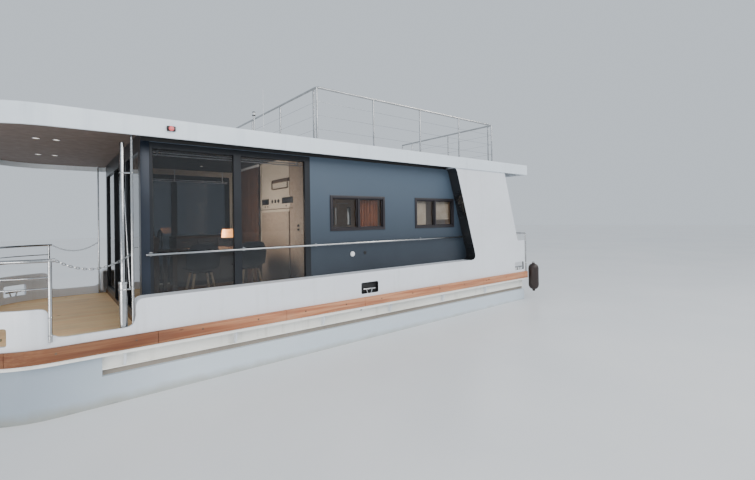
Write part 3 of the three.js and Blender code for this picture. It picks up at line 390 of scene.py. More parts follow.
def blotchMask(place, stretch, low, high):
    inputs = {"Vector": place, "Stretch": stretch, "Low": low, "High": high}
    return addNode(place.id_data, "Group", inputs, node_tree=blotches).outputs["Mask"]


# the material slots, with the materials that have another name
slotMembers = {
    "anthracite_frame": ("window_bronze",),
    "black_plastic": ("black_tray_and_shade", "gasket", "red_lens", "green_lens"),
    "black_paint": ("soffit_painted_shade",), "white_paint": ("roof_coat", "white_plastic", "fascia_painted_shade"),
    "curtain_cloth": ("blind_cloth", "ochre_cloth"), "window_glass": ("small_window_glass", "starboard_painted_shade_glass"),
    "beige_board": ("lamp_glow", "taupe_board"), "stainless": ("spot_glow",), "cream_paint": ("packer_painted_shade",),
    "blue_paint": ("corner_paint",), "oak": ("dark_wood", "pale_wood"), "decking": ("cabin_boards",),
}
slotNames = {name: slot for slot, names in slotMembers.items() for name in names}


def newMaterial(name, roughness=0.5, metallic=0.0, **plain):
    material = bpy.data.materials.new(name)
    material["slot"] = slotNames.get(name, name)
    material.use_nodes = True
    shader = material.node_tree.nodes["Principled BSDF"]
    for label, value in {"Roughness": roughness, "Metallic": metallic, **plain}.items():
        shader.inputs[label.replace("_", " ")].default_value = value
    return material, shader, addNode(material.node_tree, "TexCoord").outputs["Object"]


def wire(shader, tone, roughness=None, bump=None):
    # bump is a height, a strength and a distance
    links = shader.id_data.links
    links.new(tone, shader.inputs["Base Color"])
    if roughness is not None:
        links.new(roughness, shader.inputs["Roughness"])
    if bump:
        node = addNode(shader.id_data, "Bump", dict(zip(("Height", "Strength", "Distance"), bump)))
        links.new(node.outputs["Normal"], shader.inputs["Normal"])


def paintMaterial(name, color, dirt, roughness=0.4, coat=0.15, peel=0.06, streaks=0.35):
    # paint with faint orange peel, cloudy wear and thin run marks down the sides
    material, shader, place = newMaterial(name, roughness, Coat_Weight=coat, Coat_Roughness=0.15)
    clouds = blotchMask(place, (0.9, 0.9, 1.4), 0.35, 0.75)
    tone = mixed(share(clouds, 0.28), color, dirt)
    tone = mixed(share(blotchMask(place, (9, 9, 0.5), 0.55, 0.8), streaks), tone, dirt)
    gloss = ranged(clouds, 0, 1, roughness - 0.06, roughness + 0.12)
    wire(shader, tone, gloss, (noiseAt(place, 220, 2), peel, 0.0006))
    return material


def hullMaterial():
    # hull paint with painted shade that darkens it towards the bow, a brownish tide mark above the water and
    # weld lines at the frames
    material, shader, place = newMaterial("hull_paint", 0.42, Coat_Weight=0.1)
    clouds = blotchMask(place, (0.8, 0.8, 3), 0.35, 0.8)
    tone = mixed(share(clouds, 0.4), linear(202, 214, 224), linear(176, 190, 202))
    # painted shade: darker and bluer towards the bow
    tone = mixed(ranged(axisOf(place, "X"), 2.9, 4.3, 0, 0.85), tone, linear(136, 150, 164))
    ragged = worked("ADD", axisOf(place, "Z"), ranged(noiseAt(place, 5, 4), 0, 1, -0.05, 0.05))
    tide = ranged(ragged, 0.53, 0.44)
    tone = mixed(share(tide, 0.5), tone, linear(140, 134, 108))
    tone = mixed(share(ranged(ragged, 0.42, 0.36), 0.7), tone, linear(62, 66, 52))
    seams = addNode(shader.id_data, "TexWave", {"Vector": mapped(place, (0.8, 1, 1)), "Scale": 0.5},
                    bands_direction="X")
    height = worked("ADD", ranged(seams.outputs["Fac"], 0.995, 1.0), noiseAt(place, 12, 3))
    wire(shader, tone, ranged(tide, 0, 1, 0.4, 0.75), (height, 0.25, 0.003))
    return material


def wallMaterial():
    # blue-grey coated panels with painted shade and reflection: darker towards the foot, and a step darker
    # under the grab rail
    material, shader, place = newMaterial("blue_paint", 0.45, Coat_Weight=0.1, Coat_Roughness=0.2)
    height = axisOf(place, "Z")
    # painted shade and reflection: darker towards the foot
    tone = mixed(ranged(height, 1.5, 3.15), linear(20, 31, 42), linear(74, 90, 106))
    # painted shade: a step darker everywhere under the grab rail
    tone = mixed(ranged(height, 1.918, 1.912, 0, 0.25), tone, linear(16, 24, 34))
    tone = mixed(share(blotchMask(place, (0.7, 0.7, 0.9), 0.3, 0.8), 0.12), tone, linear(96, 110, 124))
    wire(shader, tone, bump=(noiseAt(place, 180, 2), 0.05, 0.0006))
    return material


def frameMaterial(name, color):
    material, shader, place = newMaterial(name, 0.38, 0.25)
    tone = mixed(ranged(noiseAt(place, 3, 4), 0.35, 0.7, 0, 0.5), color, lighter(color, 1.7))
    wire(shader, tone, bump=(noiseAt(place, 900, 2), 0.18, 0.0003))
    return material


def timberMaterial(name, light, dark, knot, roughness=0.65, boards=None, shadeRamp=None):
    # timber along X; boards gives the width of the strips, with grooves between them
    material, shader, place = newMaterial(name, roughness)
    inputs = {"Vector": place, "Light": light, "Dark": dark, "Knot": knot}
    grain = addNode(shader.id_data, "Group", inputs, node_tree=timber).outputs
    tone, height = grain["Color"], grain["Height"]
    if boards:
        part = worked("FRACT", worked("DIVIDE", axisOf(place, "Y"), boards))
        gap = ranged(worked("ABSOLUTE", worked("SUBTRACT", part, 0.5)), 0.475, 0.49)
        tone = mixed(share(gap, 0.75), tone, dark)
        height = worked("SUBTRACT", height, gap)
    tone = mixed(share(blotchMask(place, (2, 3, 3), 0.45, 0.8), 0.25), tone, linear(150, 138, 122))
    if shadeRamp:
        # painted shade: from the first x to the second the boards turn darker by this tint
        start, end, tint = shadeRamp
        tone = mixed(ranged(axisOf(place, "X"), start, end, 0, 0.9), tone, tint, "MULTIPLY")
    wire(shader, tone, ranged(grain["Height"], 0.3, 0.8, roughness - 0.1, roughness + 0.15),
         (height, 0.35, 0.0015))
    return material


def steelMaterial():
    # polished tube with fine draw lines and dull patches
    material, shader, place = newMaterial("stainless", 0.2, 1.0)
    haze = blotchMask(place, (6, 6, 6), 0.4, 0.8)
    tone = mixed(haze, linear(184, 186, 188), linear(152, 154, 154))
    wire(shader, tone, ranged(haze, 0, 1, 0.16, 0.34), (noiseAt(place, 160, 3, (1, 1, 0.05)), 0.05, 0.0004))
    return material


def plasticMaterial(name, color, roughness=0.5, grain=400, strength=0.15):
    material, shader, place = newMaterial(name, roughness)
    tone = mixed(ranged(noiseAt(place, 7, 4), 0.3, 0.7, 0, 0.35), color, lighter(color, 1.35, 0.004))
    gloss = ranged(noiseAt(place, 11, 3), 0.3, 0.7, roughness - 0.08, roughness + 0.1)
    wire(shader, tone, gloss, (noiseAt(place, grain, 2), strength, 0.0004))
    return material


def clothMaterial(name, color, shade, pitch=0.007):
    # crossed thread waves, a little uneven in tone
    material, shader, place = newMaterial(name, 0.9, Sheen_Weight=0.3, Sheen_Roughness=0.5)
    inputs = {"Vector": place, "Scale": 1 / pitch}
    warp, weft = (addNode(shader.id_data, "TexWave", inputs, bands_direction=way).outputs["Fac"]
                  for way in "XZ")
    tone = mixed(ranged(noiseAt(place, 6, 4), 0.3, 0.7), color, shade)
    wire(shader, tone, bump=(worked("MULTIPLY", warp, weft), 0.4, 0.0006))
    return material


def glassMaterial(name, tint):
    # tinted glass that lets the light rays through unbent for shadows
    material, shader, place = newMaterial(name, 0.0, Transmission_Weight=1.0, IOR=1.45)
    film = mixed(ranged(noiseAt(place, 2, 4), 0.3, 0.75, 0.0, 0.06), tint, linear(150, 154, 156))
    wire(shader, film, ranged(noiseAt(place, 3, 4), 0.45, 0.9, 0.0, 0.02))
    tree = shader.id_data
    clear = addNode(tree, "BsdfTransparent", {"Color": tint}).outputs[0]
    shadow = addNode(tree, "LightPath").outputs["Is Shadow Ray"]
    switch = addNode(tree, "MixShader", {0: shadow, 1: shader.outputs[0], 2: clear})
    tree.links.new(switch.outputs[0], tree.nodes["Material Output"].inputs["Surface"])
    return material


def glowMaterial(name, color, strength):
    material, shader, place = newMaterial(name, 0.4, Emission_Color=color, Emission_Strength=strength)
    wire(shader, mixed(ranged(noiseAt(place, 30, 2), 0.3, 0.7, 0, 0.2), color, (1, 1, 1, 1)))
    return material


whitePaint = paintMaterial("white_paint", linear(227, 232, 239), linear(186, 190, 192), 0.36, 0.25)
# painted shade: a bluer copy of the white paint for the roof fascia
fasciaShadePaint = paintMaterial("fascia_painted_shade", linear(226, 236, 244), linear(182, 194, 204), 0.36, 0.25)
creamPaint = paintMaterial("cream_paint", linear(245, 245, 240), linear(178, 176, 162), 0.5, 0.05,
                           streaks=0.5)
blackPaint = paintMaterial("black_paint", linear(24, 25, 28), linear(60, 60, 60), 0.25, 0.5, 0.04, 0.15)
# painted shade for the recessed gap between the lower flange and the pontoon
packerShade = paintMaterial("packer_painted_shade", linear(160, 150, 138), linear(112, 102, 92), 0.6, 0.0, 0.1)
roofCoat = paintMaterial("roof_coat", linear(206, 208, 208), linear(160, 160, 154), 0.7, 0.0, 0.2)
hullPaint = hullMaterial()
bluePaint = wallMaterial()
stainless = steelMaterial()
anthracite = frameMaterial("anthracite_frame", linear(24, 27, 32))
cornerPaint = frameMaterial("corner_paint", linear(28, 36, 48))
bronzeFrame = frameMaterial("window_bronze", linear(36, 33, 37))
# painted shade: the strake turns darker and greyer towards the bow
larch = timberMaterial("larch", linear(202, 144, 106), linear(164, 102, 72), linear(50, 28, 20),
                       roughness=0.75,
                       shadeRamp=(1.9, 3.4, linear(152, 142, 128)))
deckBoards = timberMaterial("decking", linear(255, 220, 168), linear(252, 204, 146), linear(150, 108, 72),
                            boards=0.19)
# painted shade: the floor turns much darker inside the cabin, forward of the rear wall
cabinBoards = timberMaterial("cabin_boards", linear(248, 210, 160), linear(236, 192, 140),
                             linear(150, 108, 72),
                             boards=0.19, shadeRamp=(at(7.36), at(7.33), linear(96, 84, 76)))
taupeBoard = timberMaterial("taupe_board", linear(190, 172, 152), linear(172, 152, 132), linear(140, 118, 98))
woodDark = timberMaterial("dark_wood", linear(104, 84, 66), linear(78, 60, 46), linear(50, 36, 28))
paleWood = timberMaterial("pale_wood", linear(226, 198, 160), linear(206, 172, 132), linear(170, 130, 90))
whitePlastic = plasticMaterial("white_plastic", linear(222, 224, 226), 0.4, 200, 0.08)
blackPlastic = plasticMaterial("black_plastic", linear(22, 22, 24), 0.45)
# black for the niche tray, and painted shade for the drain holes and the shadow gap
blackTrayAndShade = plasticMaterial("black_tray_and_shade", linear(14, 14, 16), 0.55)
greyShell = plasticMaterial("grey_plastic", linear(82, 84, 88), 0.75, 260, 0.3)
fenderVinyl = plasticMaterial("fender_rubber", linear(42, 30, 27), 0.45, 60, 0.12)
gasket = plasticMaterial("gasket", linear(16, 16, 18), 0.6)
ceilingBoard = plasticMaterial("ceiling_board", linear(104, 92, 86), 0.7, 60, 0.1)
# painted shade: the soffit under the roof overhang in near-black
soffit = plasticMaterial("soffit_painted_shade", linear(38, 38, 42), 0.7, 60, 0.1)
beigeBoard = plasticMaterial("beige_board", linear(214, 203, 184), 0.5, 90, 0.08)
ochreCloth = clothMaterial("ochre_cloth", linear(176, 108, 64), linear(140, 80, 48))
curtainCloth = clothMaterial("curtain_cloth", linear(104, 74, 56), linear(74, 52, 40))
blindCloth = clothMaterial("blind_cloth", linear(224, 216, 204), linear(200, 190, 176))
windowGlass = glassMaterial("window_glass", (0.34, 0.35, 0.36, 1))
# painted shade: the starboard glass is tinted far darker than the port glass, standing for the shade on the
# far side
starboardShadeGlass = glassMaterial("starboard_painted_shade_glass", (0.09, 0.10, 0.11, 1))
clearGlass = glassMaterial("small_window_glass", (0.62, 0.60, 0.57, 1))
redLens = glowMaterial("red_lens", (0.75, 0.02, 0.03, 1), 0.25)
greenLens = glowMaterial("green_lens", (0.02, 0.5, 0.12, 1), 0.25)
lampGlow = glowMaterial("lamp_glow", (1.0, 0.38, 0.09, 1), 4.5)
spotGlow = glowMaterial("spot_glow", (1.0, 0.93, 0.85, 1), 1.2)
print("materials made:", len(bpy.data.materials))

# Camera, floor and light

cameraView = {
    "place": (4.110, 6.931, 2.267), "yaw": 38.82, "pitch": 0.35, "roll": -0.88,
    "focal": 409.9, "width": 755, "height": 480, "middle": (377.5, 217.6),
}


def putAt(thing, right, rise, back, place):
    scene.collection.objects.link(thing)
    rows = [[right[k], rise[k], back[k], place[k]] for k in range(3)]
    thing.matrix_world = Matrix([*rows, [0, 0, 0, 1]])


def addCamera(view):
    data = bpy.data.cameras.new("camera")
    scene.camera = bpy.data.objects.new("camera", data)
    yaw, pitch, roll = (math.radians(view[key]) for key in ("yaw", "pitch", "roll"))
    ahead = np.array([-math.sin(yaw) * math.cos(pitch), -math.cos(yaw) * math.cos(pitch), math.sin(pitch)])
    level = unit(np.cross(ahead, up))
    plumb = np.cross(level, ahead)
    right = math.cos(roll) * level + math.sin(roll) * plumb
    rise = -math.sin(roll) * level + math.cos(roll) * plumb
    putAt(scene.camera, right, rise, -ahead, view["place"])
    data.sensor_width = 36
    data.lens = view["focal"] / view["width"] * data.sensor_width
    data.shift_x = (view["width"] / 2 - view["middle"][0]) / view["width"]
    data.shift_y = -(view["height"] / 2 - view["middle"][1]) / view["width"]


def addFloor():
    # the water's own plane: the boat lies a little down by the stern
    settings = {"reach": 60.0, "trim": 0.0095, "pivotX": 3.2}
    x = np.array([-1, 1, 1, -1]) * settings["reach"]
    y = np.array([-1, -1, 1, 1]) * settings["reach"]
    z = waterline - settings["trim"] * (x - settings["pivotX"])
    material, shader, place = newMaterial("floor_pale", 0.35)
    patches = ranged(noiseAt(place, 0.6, 3), 0.3, 0.7)
    wire(shader, mixed(patches, linear(214, 217, 220), linear(222, 224, 226)))
    mesh = bpy.data.meshes.new("floor")
    mesh.from_pydata(np.column_stack([x, y, z]).tolist(), [], [[0, 1, 2, 3]])
    mesh.materials.append(material)
    floor = bpy.data.objects.new("floor", mesh)
    scene.collection.objects.link(floor)


def addLight(name, kind, place, target, energy, size, color):
    data = bpy.data.lights.new(name, kind)
    data.energy = energy
    data.color = color
    if kind == "AREA":
        data.shape = "RECTANGLE"
        data.size, data.size_y = size
    else:
        data.angle = size
    back = unit(np.subtract(place, target))
    level = unit(np.cross(up, back))
    putAt(bpy.data.objects.new(name, data), level, np.cross(back, level), back, place)


def addWorld():
    scene.world = bpy.data.worlds.new("sky")
    scene.world.use_nodes = True
    background = scene.world.node_tree.nodes["Background"]
    background.inputs["Color"].default_value = (0.80, 0.88, 0.97, 1)
    background.inputs["Strength"].default_value = 0.85


addCamera(cameraView)
addFloor()
addWorld()
addLight("side_softbox", "AREA", (-1.5, 13, 9.5), (-0.5, 0, 1.5), 1300, (14, 7), (1.0, 0.98, 0.96))
addLight("sun_soft", "SUN", (-9, 5, 9), (0, 0, 1), 1.2, 0.35, (1.0, 0.93, 0.84))
addLight("bow_bounce", "AREA", (9.5, 5.5, 1.2), (4.0, -0.5, 2.2), 230, (5, 1.6), (1.0, 0.95, 0.9))
addLight("saloon_lamp", "AREA", (2.4, 0.5, 2.35), (1.1, 0.55, 2.0), 42, (0.5, 0.5), (1.0, 0.87, 0.76))
addLight("cabin_lamp", "AREA", (-0.6, 0.3, 3.2), (-0.6, 1.0, 2.2), 22, (1.6, 0.6), (1.0, 0.84, 0.76))
print("camera, floor and light set")

# Hull, walls and roof

niches = {
    "heading": 0.67, "stations": (3.85, 7.935), "half": 0.165, "low": 1.150, "high": 1.320, "slack": 0.003,
    "sideRim": 0.026, "levelRim": 0.011, "bowRadius": 0.8, "bowHalf": 0.12, "bowDepth": 0.036,
    "cleatHalf": 0.161, "cleatY": 1.89, "cleatZ": (1.151, 1.300),
}
# places in the frame that tell a node's faces apart, and how far a normal may lean
limits = {
    "packerTop": 0.7775, "pillarX": (at(6.62), at(5.80)), "pillarZ": (1.475, 3.205), "deckTop": 3.40,
    "soffit": 3.23, "wallInner": 1.657, "wallOuter": 1.7155, "rimLow": 1.2, "frontLever": at(0.9145),
    "rearInner": at(7.345), "rearLever": at(7.4245), "rearHinge": (at(7.4065), 0.3215),
    "level": 0.7, "upright": 0.5, "lengthwise": 0.3,
}


def hullFrameFaces(centres, normals):
    # 0 cream, 1 painted shade on the packer in the recessed gap between the lower flange and the pontoon
    return (centres[:, 2] < limits["packerTop"]) & (np.abs(normals[:, 2]) < limits["upright"])


def fromNiche(centres):
    # how far a face lies from the nearest side niche's middle, along and up
    along = np.min([np.abs(centres[:, 0] - at(s)) for s in niches["stations"]], axis=0)
    return along, np.abs(centres[:, 2] - (niches["low"] + niches["high"]) / 2)


def nicheFaces(centres):
    # the cleats inside the niches; at the bow by how far along the skin and how far inside it a face lies
    low, high = niches["cleatZ"]
    within = (centres[:, 2] > low) & (centres[:, 2] < high)
    middle = (fromNiche(centres)[0] < niches["cleatHalf"]) & (np.abs(centres[:, 1]) > niches["cleatY"])
    out = np.array([math.sin(niches["heading"]), math.cos(niches["heading"])])
    place = np.abs(centres[:, :2] * (0, 1)) + centres[:, :2] * (1, 0)
    place = place - (at(bow["station"]), bow["y"]) - niches["bowRadius"] * out
    along, depth = np.abs(place @ (out[1], -out[0])), place @ out
    return within & (middle | ((along < niches["bowHalf"]) & (depth > -niches["bowDepth"]) & (depth < 0)))


def bulwarkFaces(centres, normals):
    return 2 * nicheFaces(centres).astype(int)


def panelFaces(centres, normals):
    # 0 white, 1 painted shade: black on the niches' rims and the pillar's edge that looks forward under the
    #                           roof, 2 the cleats
    x, z = centres[:, 0], centres[:, 2]
    along, height = fromNiche(centres)
    half, tall = niches["half"], (niches["high"] - niches["low"]) / 2
    inNiche = (along < half + niches["slack"]) & (height < tall + niches["slack"])
    rim = inNiche & ((along > half - niches["sideRim"]) | (height > tall - niches["levelRim"]))
    (x0, x1), (z0, z1) = limits["pillarX"], limits["pillarZ"]
    pillar = (z > z0) & (z < z1) & (x > x0) & (x < x1)
    # painted shade on the niche rims and on the pillar's return
    dark = (np.abs(normals[:, 1]) < limits["lengthwise"]) & (pillar | rim)
    return np.where(dark, 1, np.where(nicheFaces(centres), 2, 0))


def roofFaces(centres, normals):
    # 0 white fascia, 1 deck on top, 2 painted shade on the soffit under the overhang
    deck = (normals[:, 2] > limits["level"]) & (centres[:, 2] < limits["deckTop"])
    under = (normals[:, 2] < -limits["level"]) & (centres[:, 2] > limits["soffit"])
    return np.where(deck, 1, np.where(under, 2, 0))


def wallFaces(centres, normals):
    # 0 blue outside, 1 window rims, 2 beige inside
    off = np.abs(centres[:, 1])
    edge = (np.abs(normals[:, 1]) < limits["upright"]) & (centres[:, 2] > limits["rimLow"])
    rim = (off > limits["wallOuter"]) | edge
    return np.where(off < limits["wallInner"], 2, np.where(rim, 1, 0))


def rearDoorFaces(centres, normals):
    # 0 white, 1 the lever and the hinges
    x, y = limits["rearHinge"]
    return (centres[:, 0] < limits["rearLever"]) | ((centres[:, 1] > y) & (centres[:, 0] < x))


def glaze(node, material):
    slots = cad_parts[node].data.materials
    slots.clear()
    slots.append(material)


def dressHull():
    # the slate strip between the cabin's front corner and the glazing
    strip = {"fore": 0.8093, "aft": 0.8995, "y": 1.7152, "thick": 0.0025, "z": (1.472, 3.199)}
    for side, sideName in bothSides:
        dressedNode(f"{sideName}_pontoon", [hullPaint], bevel=0.012)
    dressedNode("deck_frame", [creamPaint, packerShade], hullFrameFaces, bevel=0.002)
    dressedNode("terrace_deck", [deckBoards], bevel=0.002)
    dressedNode("cabin_floor", [cabinBoards], bevel=0.002)
    for side, sideName in bothSides:
        dressedNode(f"{sideName}_bulwark", [whitePaint, anthracite, stainless], bulwarkFaces)
        dressedNode(f"{sideName}_side_panel", [whitePaint, blackPaint, stainless], panelFaces)
    dressedNode("roof", [fasciaShadePaint, roofCoat, soffit], roofFaces, bevel=0.006)
    dressedNode("terrace_ceiling", [ceilingBoard], bevel=0.001)
    for side, sideName in bothSides:
        corners = [(at(strip[end]), side * (strip["y"] + thick), z)
                   for end, thick, z in zip(("aft", "fore"), (0, strip["thick"]), strip["z"])]
        makePiece(f"{sideName}_corner_strip", roundedBox(*corners, 0.001), cornerPaint)
    for side, sideName in bothSides:
        dressedNode(f"{sideName}_cabin_wall", [bluePaint, bronzeFrame, beigeBoard], wallFaces, bevel=0.002)
        dressedNode(f"{sideName}_glazing_frame", [anthracite], bevel=0.002)
        glaze(f"{sideName}_saloon_glass", windowGlass if side > 0 else starboardShadeGlass)
        for part in ("fore", "aft"):
            glaze(f"{sideName}_window_{part}_glass", clearGlass)
    for node in ("front_glass_port", "front_glass_starboard", "front_door_glass"):
        glaze(node, windowGlass)
    dressedNode("front_wall_frame", [anthracite], bevel=0.002)
    dressedNode("front_door", [anthracite, stainless], lambda c, n: c[:, 0] < limits["frontLever"],
                "front_door", 0.002)
    dressedNode("rear_cabin_wall", [whitePaint, beigeBoard], lambda c, n: c[:, 0] > limits["rearInner"],
                bevel=0.002)
    dressedNode("rear_door", [whitePaint, stainless], rearDoorFaces, "rear_door")
    dressedNode("saloon_partition", [beigeBoard])


dressHull()
print("hull, walls and roof dressed")


def addStrakes():
    # planks with butt joints and bolts
    strake = {
        "joints": (0.92, 2.43, 3.72, 5.35, 6.60), "gap": 0.004, "edge": 0.006, "radius": 0.85,
        "thick": 0.0497,
        "cornerJoint": 26, "cornerGap": 0.3, "boltPitch": 0.62, "boltRadius": 0.011, "boltDepth": 0.004,
        "boltHeight": 0.6, "boltSink": 0.002, "boltStart": 0.15,
    }
    half, r, sink = strake["gap"] / 2, strake["radius"], strake["boltSink"]
    for side, sideName in bothSides:
        low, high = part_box(f"{sideName}_rub_strake")
        outer = high[1] if side > 0 else low[1]
        flank = (0, side)

        def board(path, outward):
            return sweptBoard(path, outward, strake["thick"], low[2], high[2], strake["edge"])

        ends = [low[0], *sorted(at(station) for station in strake["joints"])]
        planks = [board([(a + half, outer), (b - half, outer)], [flank, flank])
                  for a, b in zip(ends[:-1], ends[1:])]
        corner, outward = bowPath(r, side, 0, strake["cornerJoint"], 10)
        planks.append(board([(ends[-1] + half, outer), *corner], [flank, *outward]))
        corner, outward = bowPath(r, side, strake["cornerJoint"] + strake["cornerGap"], 90, 20)
        planks.append(board([*corner, (high[0], side * 0.0002)], [*outward, (1, 0)]))
        makePiece(f"{sideName}_strake_planks", planks, larch, (f"{sideName}_rub_strake",))
        z = low[2] + strake["boltHeight"] * (high[2] - low[2])
        count = int((at(bow["station"]) - low[0]) / strake["boltPitch"])
        along = np.linspace(low[0] + strake["boltStart"], at(bow["station"]), count)
        places = [((x, outer - side * sink), flank)
                  for x in along] + [*zip(*bowPath(r - sink, side, 40, 90, 1))]
        bolts = [disc((*place, z), (*out, 0), strake["boltRadius"], strake["boltDepth"], sides=10)
                 for place, out in places]
        makePiece(f"{sideName}_strake_bolts", bolts, woodDark)


def addRibs():
    # white ribs and the drain on the side web
    rib = {
        "stations": (0.62, 1.787, 3.037, 4.287, 5.537, 6.787), "half": 0.011, "inner": 1.858, "outer": 1.93,
        "low": 0.7902, "high": 0.9318, "foot": 0.04, "nose": 0.05,
    }
    drain = {"station": 3.73, "y": 1.859, "height": 0.905, "long": 0.026, "tall": 0.022, "wire": 0.007}
    inner, outer, low, high = (rib[key] for key in ("inner", "outer", "low", "high"))
    outline = [(inner, low), (inner + rib["foot"], low), (outer, high - rib["nose"]), (outer, high),
               (inner, high)]
    for side, sideName in bothSides:
        plates = [extruded(outline, 2 * rib["half"], lambda p: np.column_stack([
            at(station) - rib["half"] + p[:, 2], side * p[:, 0], p[:, 1]])) for station in rib["stations"]]
        makePiece(f"{sideName}_ribs", plates, whitePaint, bevel=0.002)
        spot = (at(drain["station"]), side * drain["y"], drain["height"])
        rim = loop(spot, (drain["long"], 0, 0), (0, 0, drain["tall"]), drain["wire"])
        makePiece(f"{sideName}_drain", rim, whitePlastic)
        # painted shade: a black disc stands for the dark inside the drain hole
        makePiece(f"{sideName}_drain_hole", disc(spot, (0, side, 0), 0.024, 0.003), blackTrayAndShade)


# Steel tubes: rails, gate, posts and ladders

steel = {"post": 0.014, "top": 0.017, "roofTop": 4.220, "railTop": 1.948}
railLine, roofLine = (steel[key] - steel["top"] for key in ("railTop", "roofTop"))


def flange(centre, radius, height=0.008):
    return disc(centre, up, radius, height, 0.4, 20)


def addTerraceRails():
    gear = {
        "radius": 0.8163, "gate": 2.69, "corner": 52.5, "half": 0.49, "foot": 1.160, "post": 0.016,
        "mids": (1.771, 1.668), "mid": 0.008, "brackets": (0.06, 0.23), "collar": 0.0175,
        "bracketReach": 0.0158,
    }
    front, foot = at(bow["station"]) + gear["radius"], gear["foot"]
    for side, sideName in bothSides:

        def route(start, z):
            plan = np.vstack([bowPath(gear["radius"], side, start, 90, 30)[0], (front, side * gear["half"])])
            return np.column_stack([plan, np.full(len(plan), z)])

        shapes = [tube(route(0, railLine), steel["top"])]
        shapes += [tube(route(gear["gate"], z), gear["mid"], 10) for z in gear["mids"]]
        feet = [(np.array([front, side * gear["half"]]), np.array([1.0, 0.0]))]
        for angle in (gear["gate"], gear["corner"], 90):
            plan, outward = bowPath(gear["radius"], side, angle, 90, 1)
            feet.append((plan[0], outward[0]))
        for place, outward in feet:
            shapes += [bar((*place, foot), (*place, railLine), gear["post"]),
                       disc((*place, foot + 0.002), down, gear["post"] + 0.001, 0.004)]
            for rise in gear["brackets"]:
                spot = np.array([*place, foot + rise])
                shapes += [ring(spot, gear["collar"], 0.004, (16, 6)),
                           bar(spot, spot - (*(outward * gear["bracketReach"]), 0), 0.009, 10)]
        end = (at(bow["station"]) + 0.001, side * (bow["y"] + gear["radius"]), railLine)
        shapes.append(disc(end, (-1, 0, 0), steel["top"], 0.003))
        makePiece(f"{sideName}_terrace_tubes", shapes, stainless, (f"{sideName}_terrace_rail",))


def addBowGate():
    gate = {
        "x": 4.84, "half": 0.422, "low": 1.220, "bars": (1.46, 1.70), "post": 0.013, "bar": 0.008,
        "sill": 1.1803, "bend": 0.05, "pin": 0.009, "foot": 0.018,
    }
    x, y, low = gate["x"], gate["half"], gate["low"]
    route = [(x, y, low), (x, y, railLine), (x, -y, railLine), (x, -y, low), (x, y, low)]
    shapes = [tube(filleted(route, gate["bend"], 6), gate["post"]), bar(route[3], route[0], gate["post"])]
    shapes += [bar((x, y, z), (x, -y, z), gate["bar"], 10) for z in gate["bars"]]
    shapes += [bar((x, y, gate["sill"]), (x, y, low), gate["pin"], 12),
               flange((x, y, gate["sill"]), gate["foot"], 0.006)]
    makePiece("bow_gate_tubes", shapes, stainless, ("bow_gate",), "bow_gate")


def addRoofRail():
    gear = {
        "front": 3.045, "bay": 1.045, "bays": 4, "side": 1.785, "inner": 0.595, "double": 0.09,
        "open": -0.965,
        "deck": 3.3952, "wires": (3.60, 3.80, 4.00), "wire": 0.0022, "foot": 0.038, "screws": 0.026,
        "screw": 0.005,
    }
    xFront, xRear = at(gear["front"]), at(gear["front"] + gear["bay"] * gear["bays"])
    y, b, deck = gear["side"], gear["inner"], gear["deck"]
    plan = [(xRear, -y), (xFront, -y), (xFront, y), (xRear, y), (xRear, gear["open"])]
    shapes = [tube(filleted([(*place, roofLine) for place in plan], 0.06), steel["top"])]
    feet = [(at(gear["front"] + gear["bay"] * i), s * y) for i in range(gear["bays"] + 1) for s in (1, -1)]
    feet += [(xFront, v) for v in (-y + gear["double"], -b, b, y - gear["double"])]
    feet += [(xRear, v) for v in (gear["open"], -b, b, y - gear["double"])]
    for place in feet:
        shapes += [bar((*place, deck), (*place, roofLine), steel["post"]),
                   flange((*place, deck), gear["foot"])]
        for a in np.arange(3) * 2.09 + 0.5:
            spot = np.array([*place, deck + 0.007]) + gear["screws"] * np.array([math.cos(a), math.sin(a), 0])
            shapes.append(disc(spot, up, gear["screw"], 0.004, sides=8))
    makePiece("roof_rail_tubes", shapes, stainless, ("roof_railing",))
    wires = [bar((*a, z), (*b, z), gear["wire"], 6) for z in gear["wires"]
             for a, b in zip(plan[:-1], plan[1:])]
    makePiece("roof_rail_wires", wires, stainless)


def addRoofPosts():
    gear = {"station": 0.704, "y": 1.866, "low": 1.0503, "high": 3.2897, "radius": 0.013, "foot": 0.0215,
            "head": 0.030}
    for side, sideName in bothSides:
        foot, head = ((at(gear["station"]), side * gear["y"], gear[end]) for end in ("low", "high"))
        shapes = [bar(foot, head, gear["radius"]), flange(foot, gear["foot"], 0.01),
                  disc(head, down, gear["head"], 0.01)]
        makePiece(f"{sideName}_post_tube", shapes, stainless, (f"{sideName}_roof_post",))


def addMooringPole():
    gear = {
        "station": 0.617, "y": 1.840, "low": 1.0503, "top": 3.139, "radius": 0.022, "sleeve": 0.040,
        "sleeveTop": 1.657, "clamps": (1.572, 2.812), "post": (0.704, 1.866), "rod": (3.060, 1.576, 0.7),
        "clamp": 0.011, "stop": 0.0133, "collar": 0.0135,
    }
    place = np.array([at(gear["station"]), gear["y"]])
    post = np.array([at(gear["post"][0]), gear["post"][1]])
    gap = np.linalg.norm(post - place)
    r, s, sleeveTop, top = (gear[key] for key in ("radius", "sleeve", "sleeveTop", "top"))
    pole = [(0, sleeveTop), (r, sleeveTop), (r, top - 0.01), (r - 0.006, top), (0, top)]
    sleeve = [(0, gear["low"]), (s, gear["low"]), (s, sleeveTop - 0.03), (s + 0.004, sleeveTop - 0.026),
              (s + 0.004, sleeveTop - 0.003), (s, sleeveTop), (0, sleeveTop)]
    shapes = [revolved(profile, (*place, 0)) for profile in (pole, sleeve)]
    for z in gear["clamps"]:
        end = place + (post - place) * (gap - gear["stop"]) / gap
        shapes += [bar((*place, z), (*end, z), gear["clamp"], 12),
                   ring((*place, z), s if z < sleeveTop else r, 0.006),
                   ring((*post, z), gear["collar"], 0.004)]
    upper, lower, way = gear["rod"]
    shapes.append(bar((*place, upper), (*(place + (post - place) * way), lower), 0.006, 10))
    makePiece("mooring_pole_tubes", shapes, stainless, ("mooring_pole",))


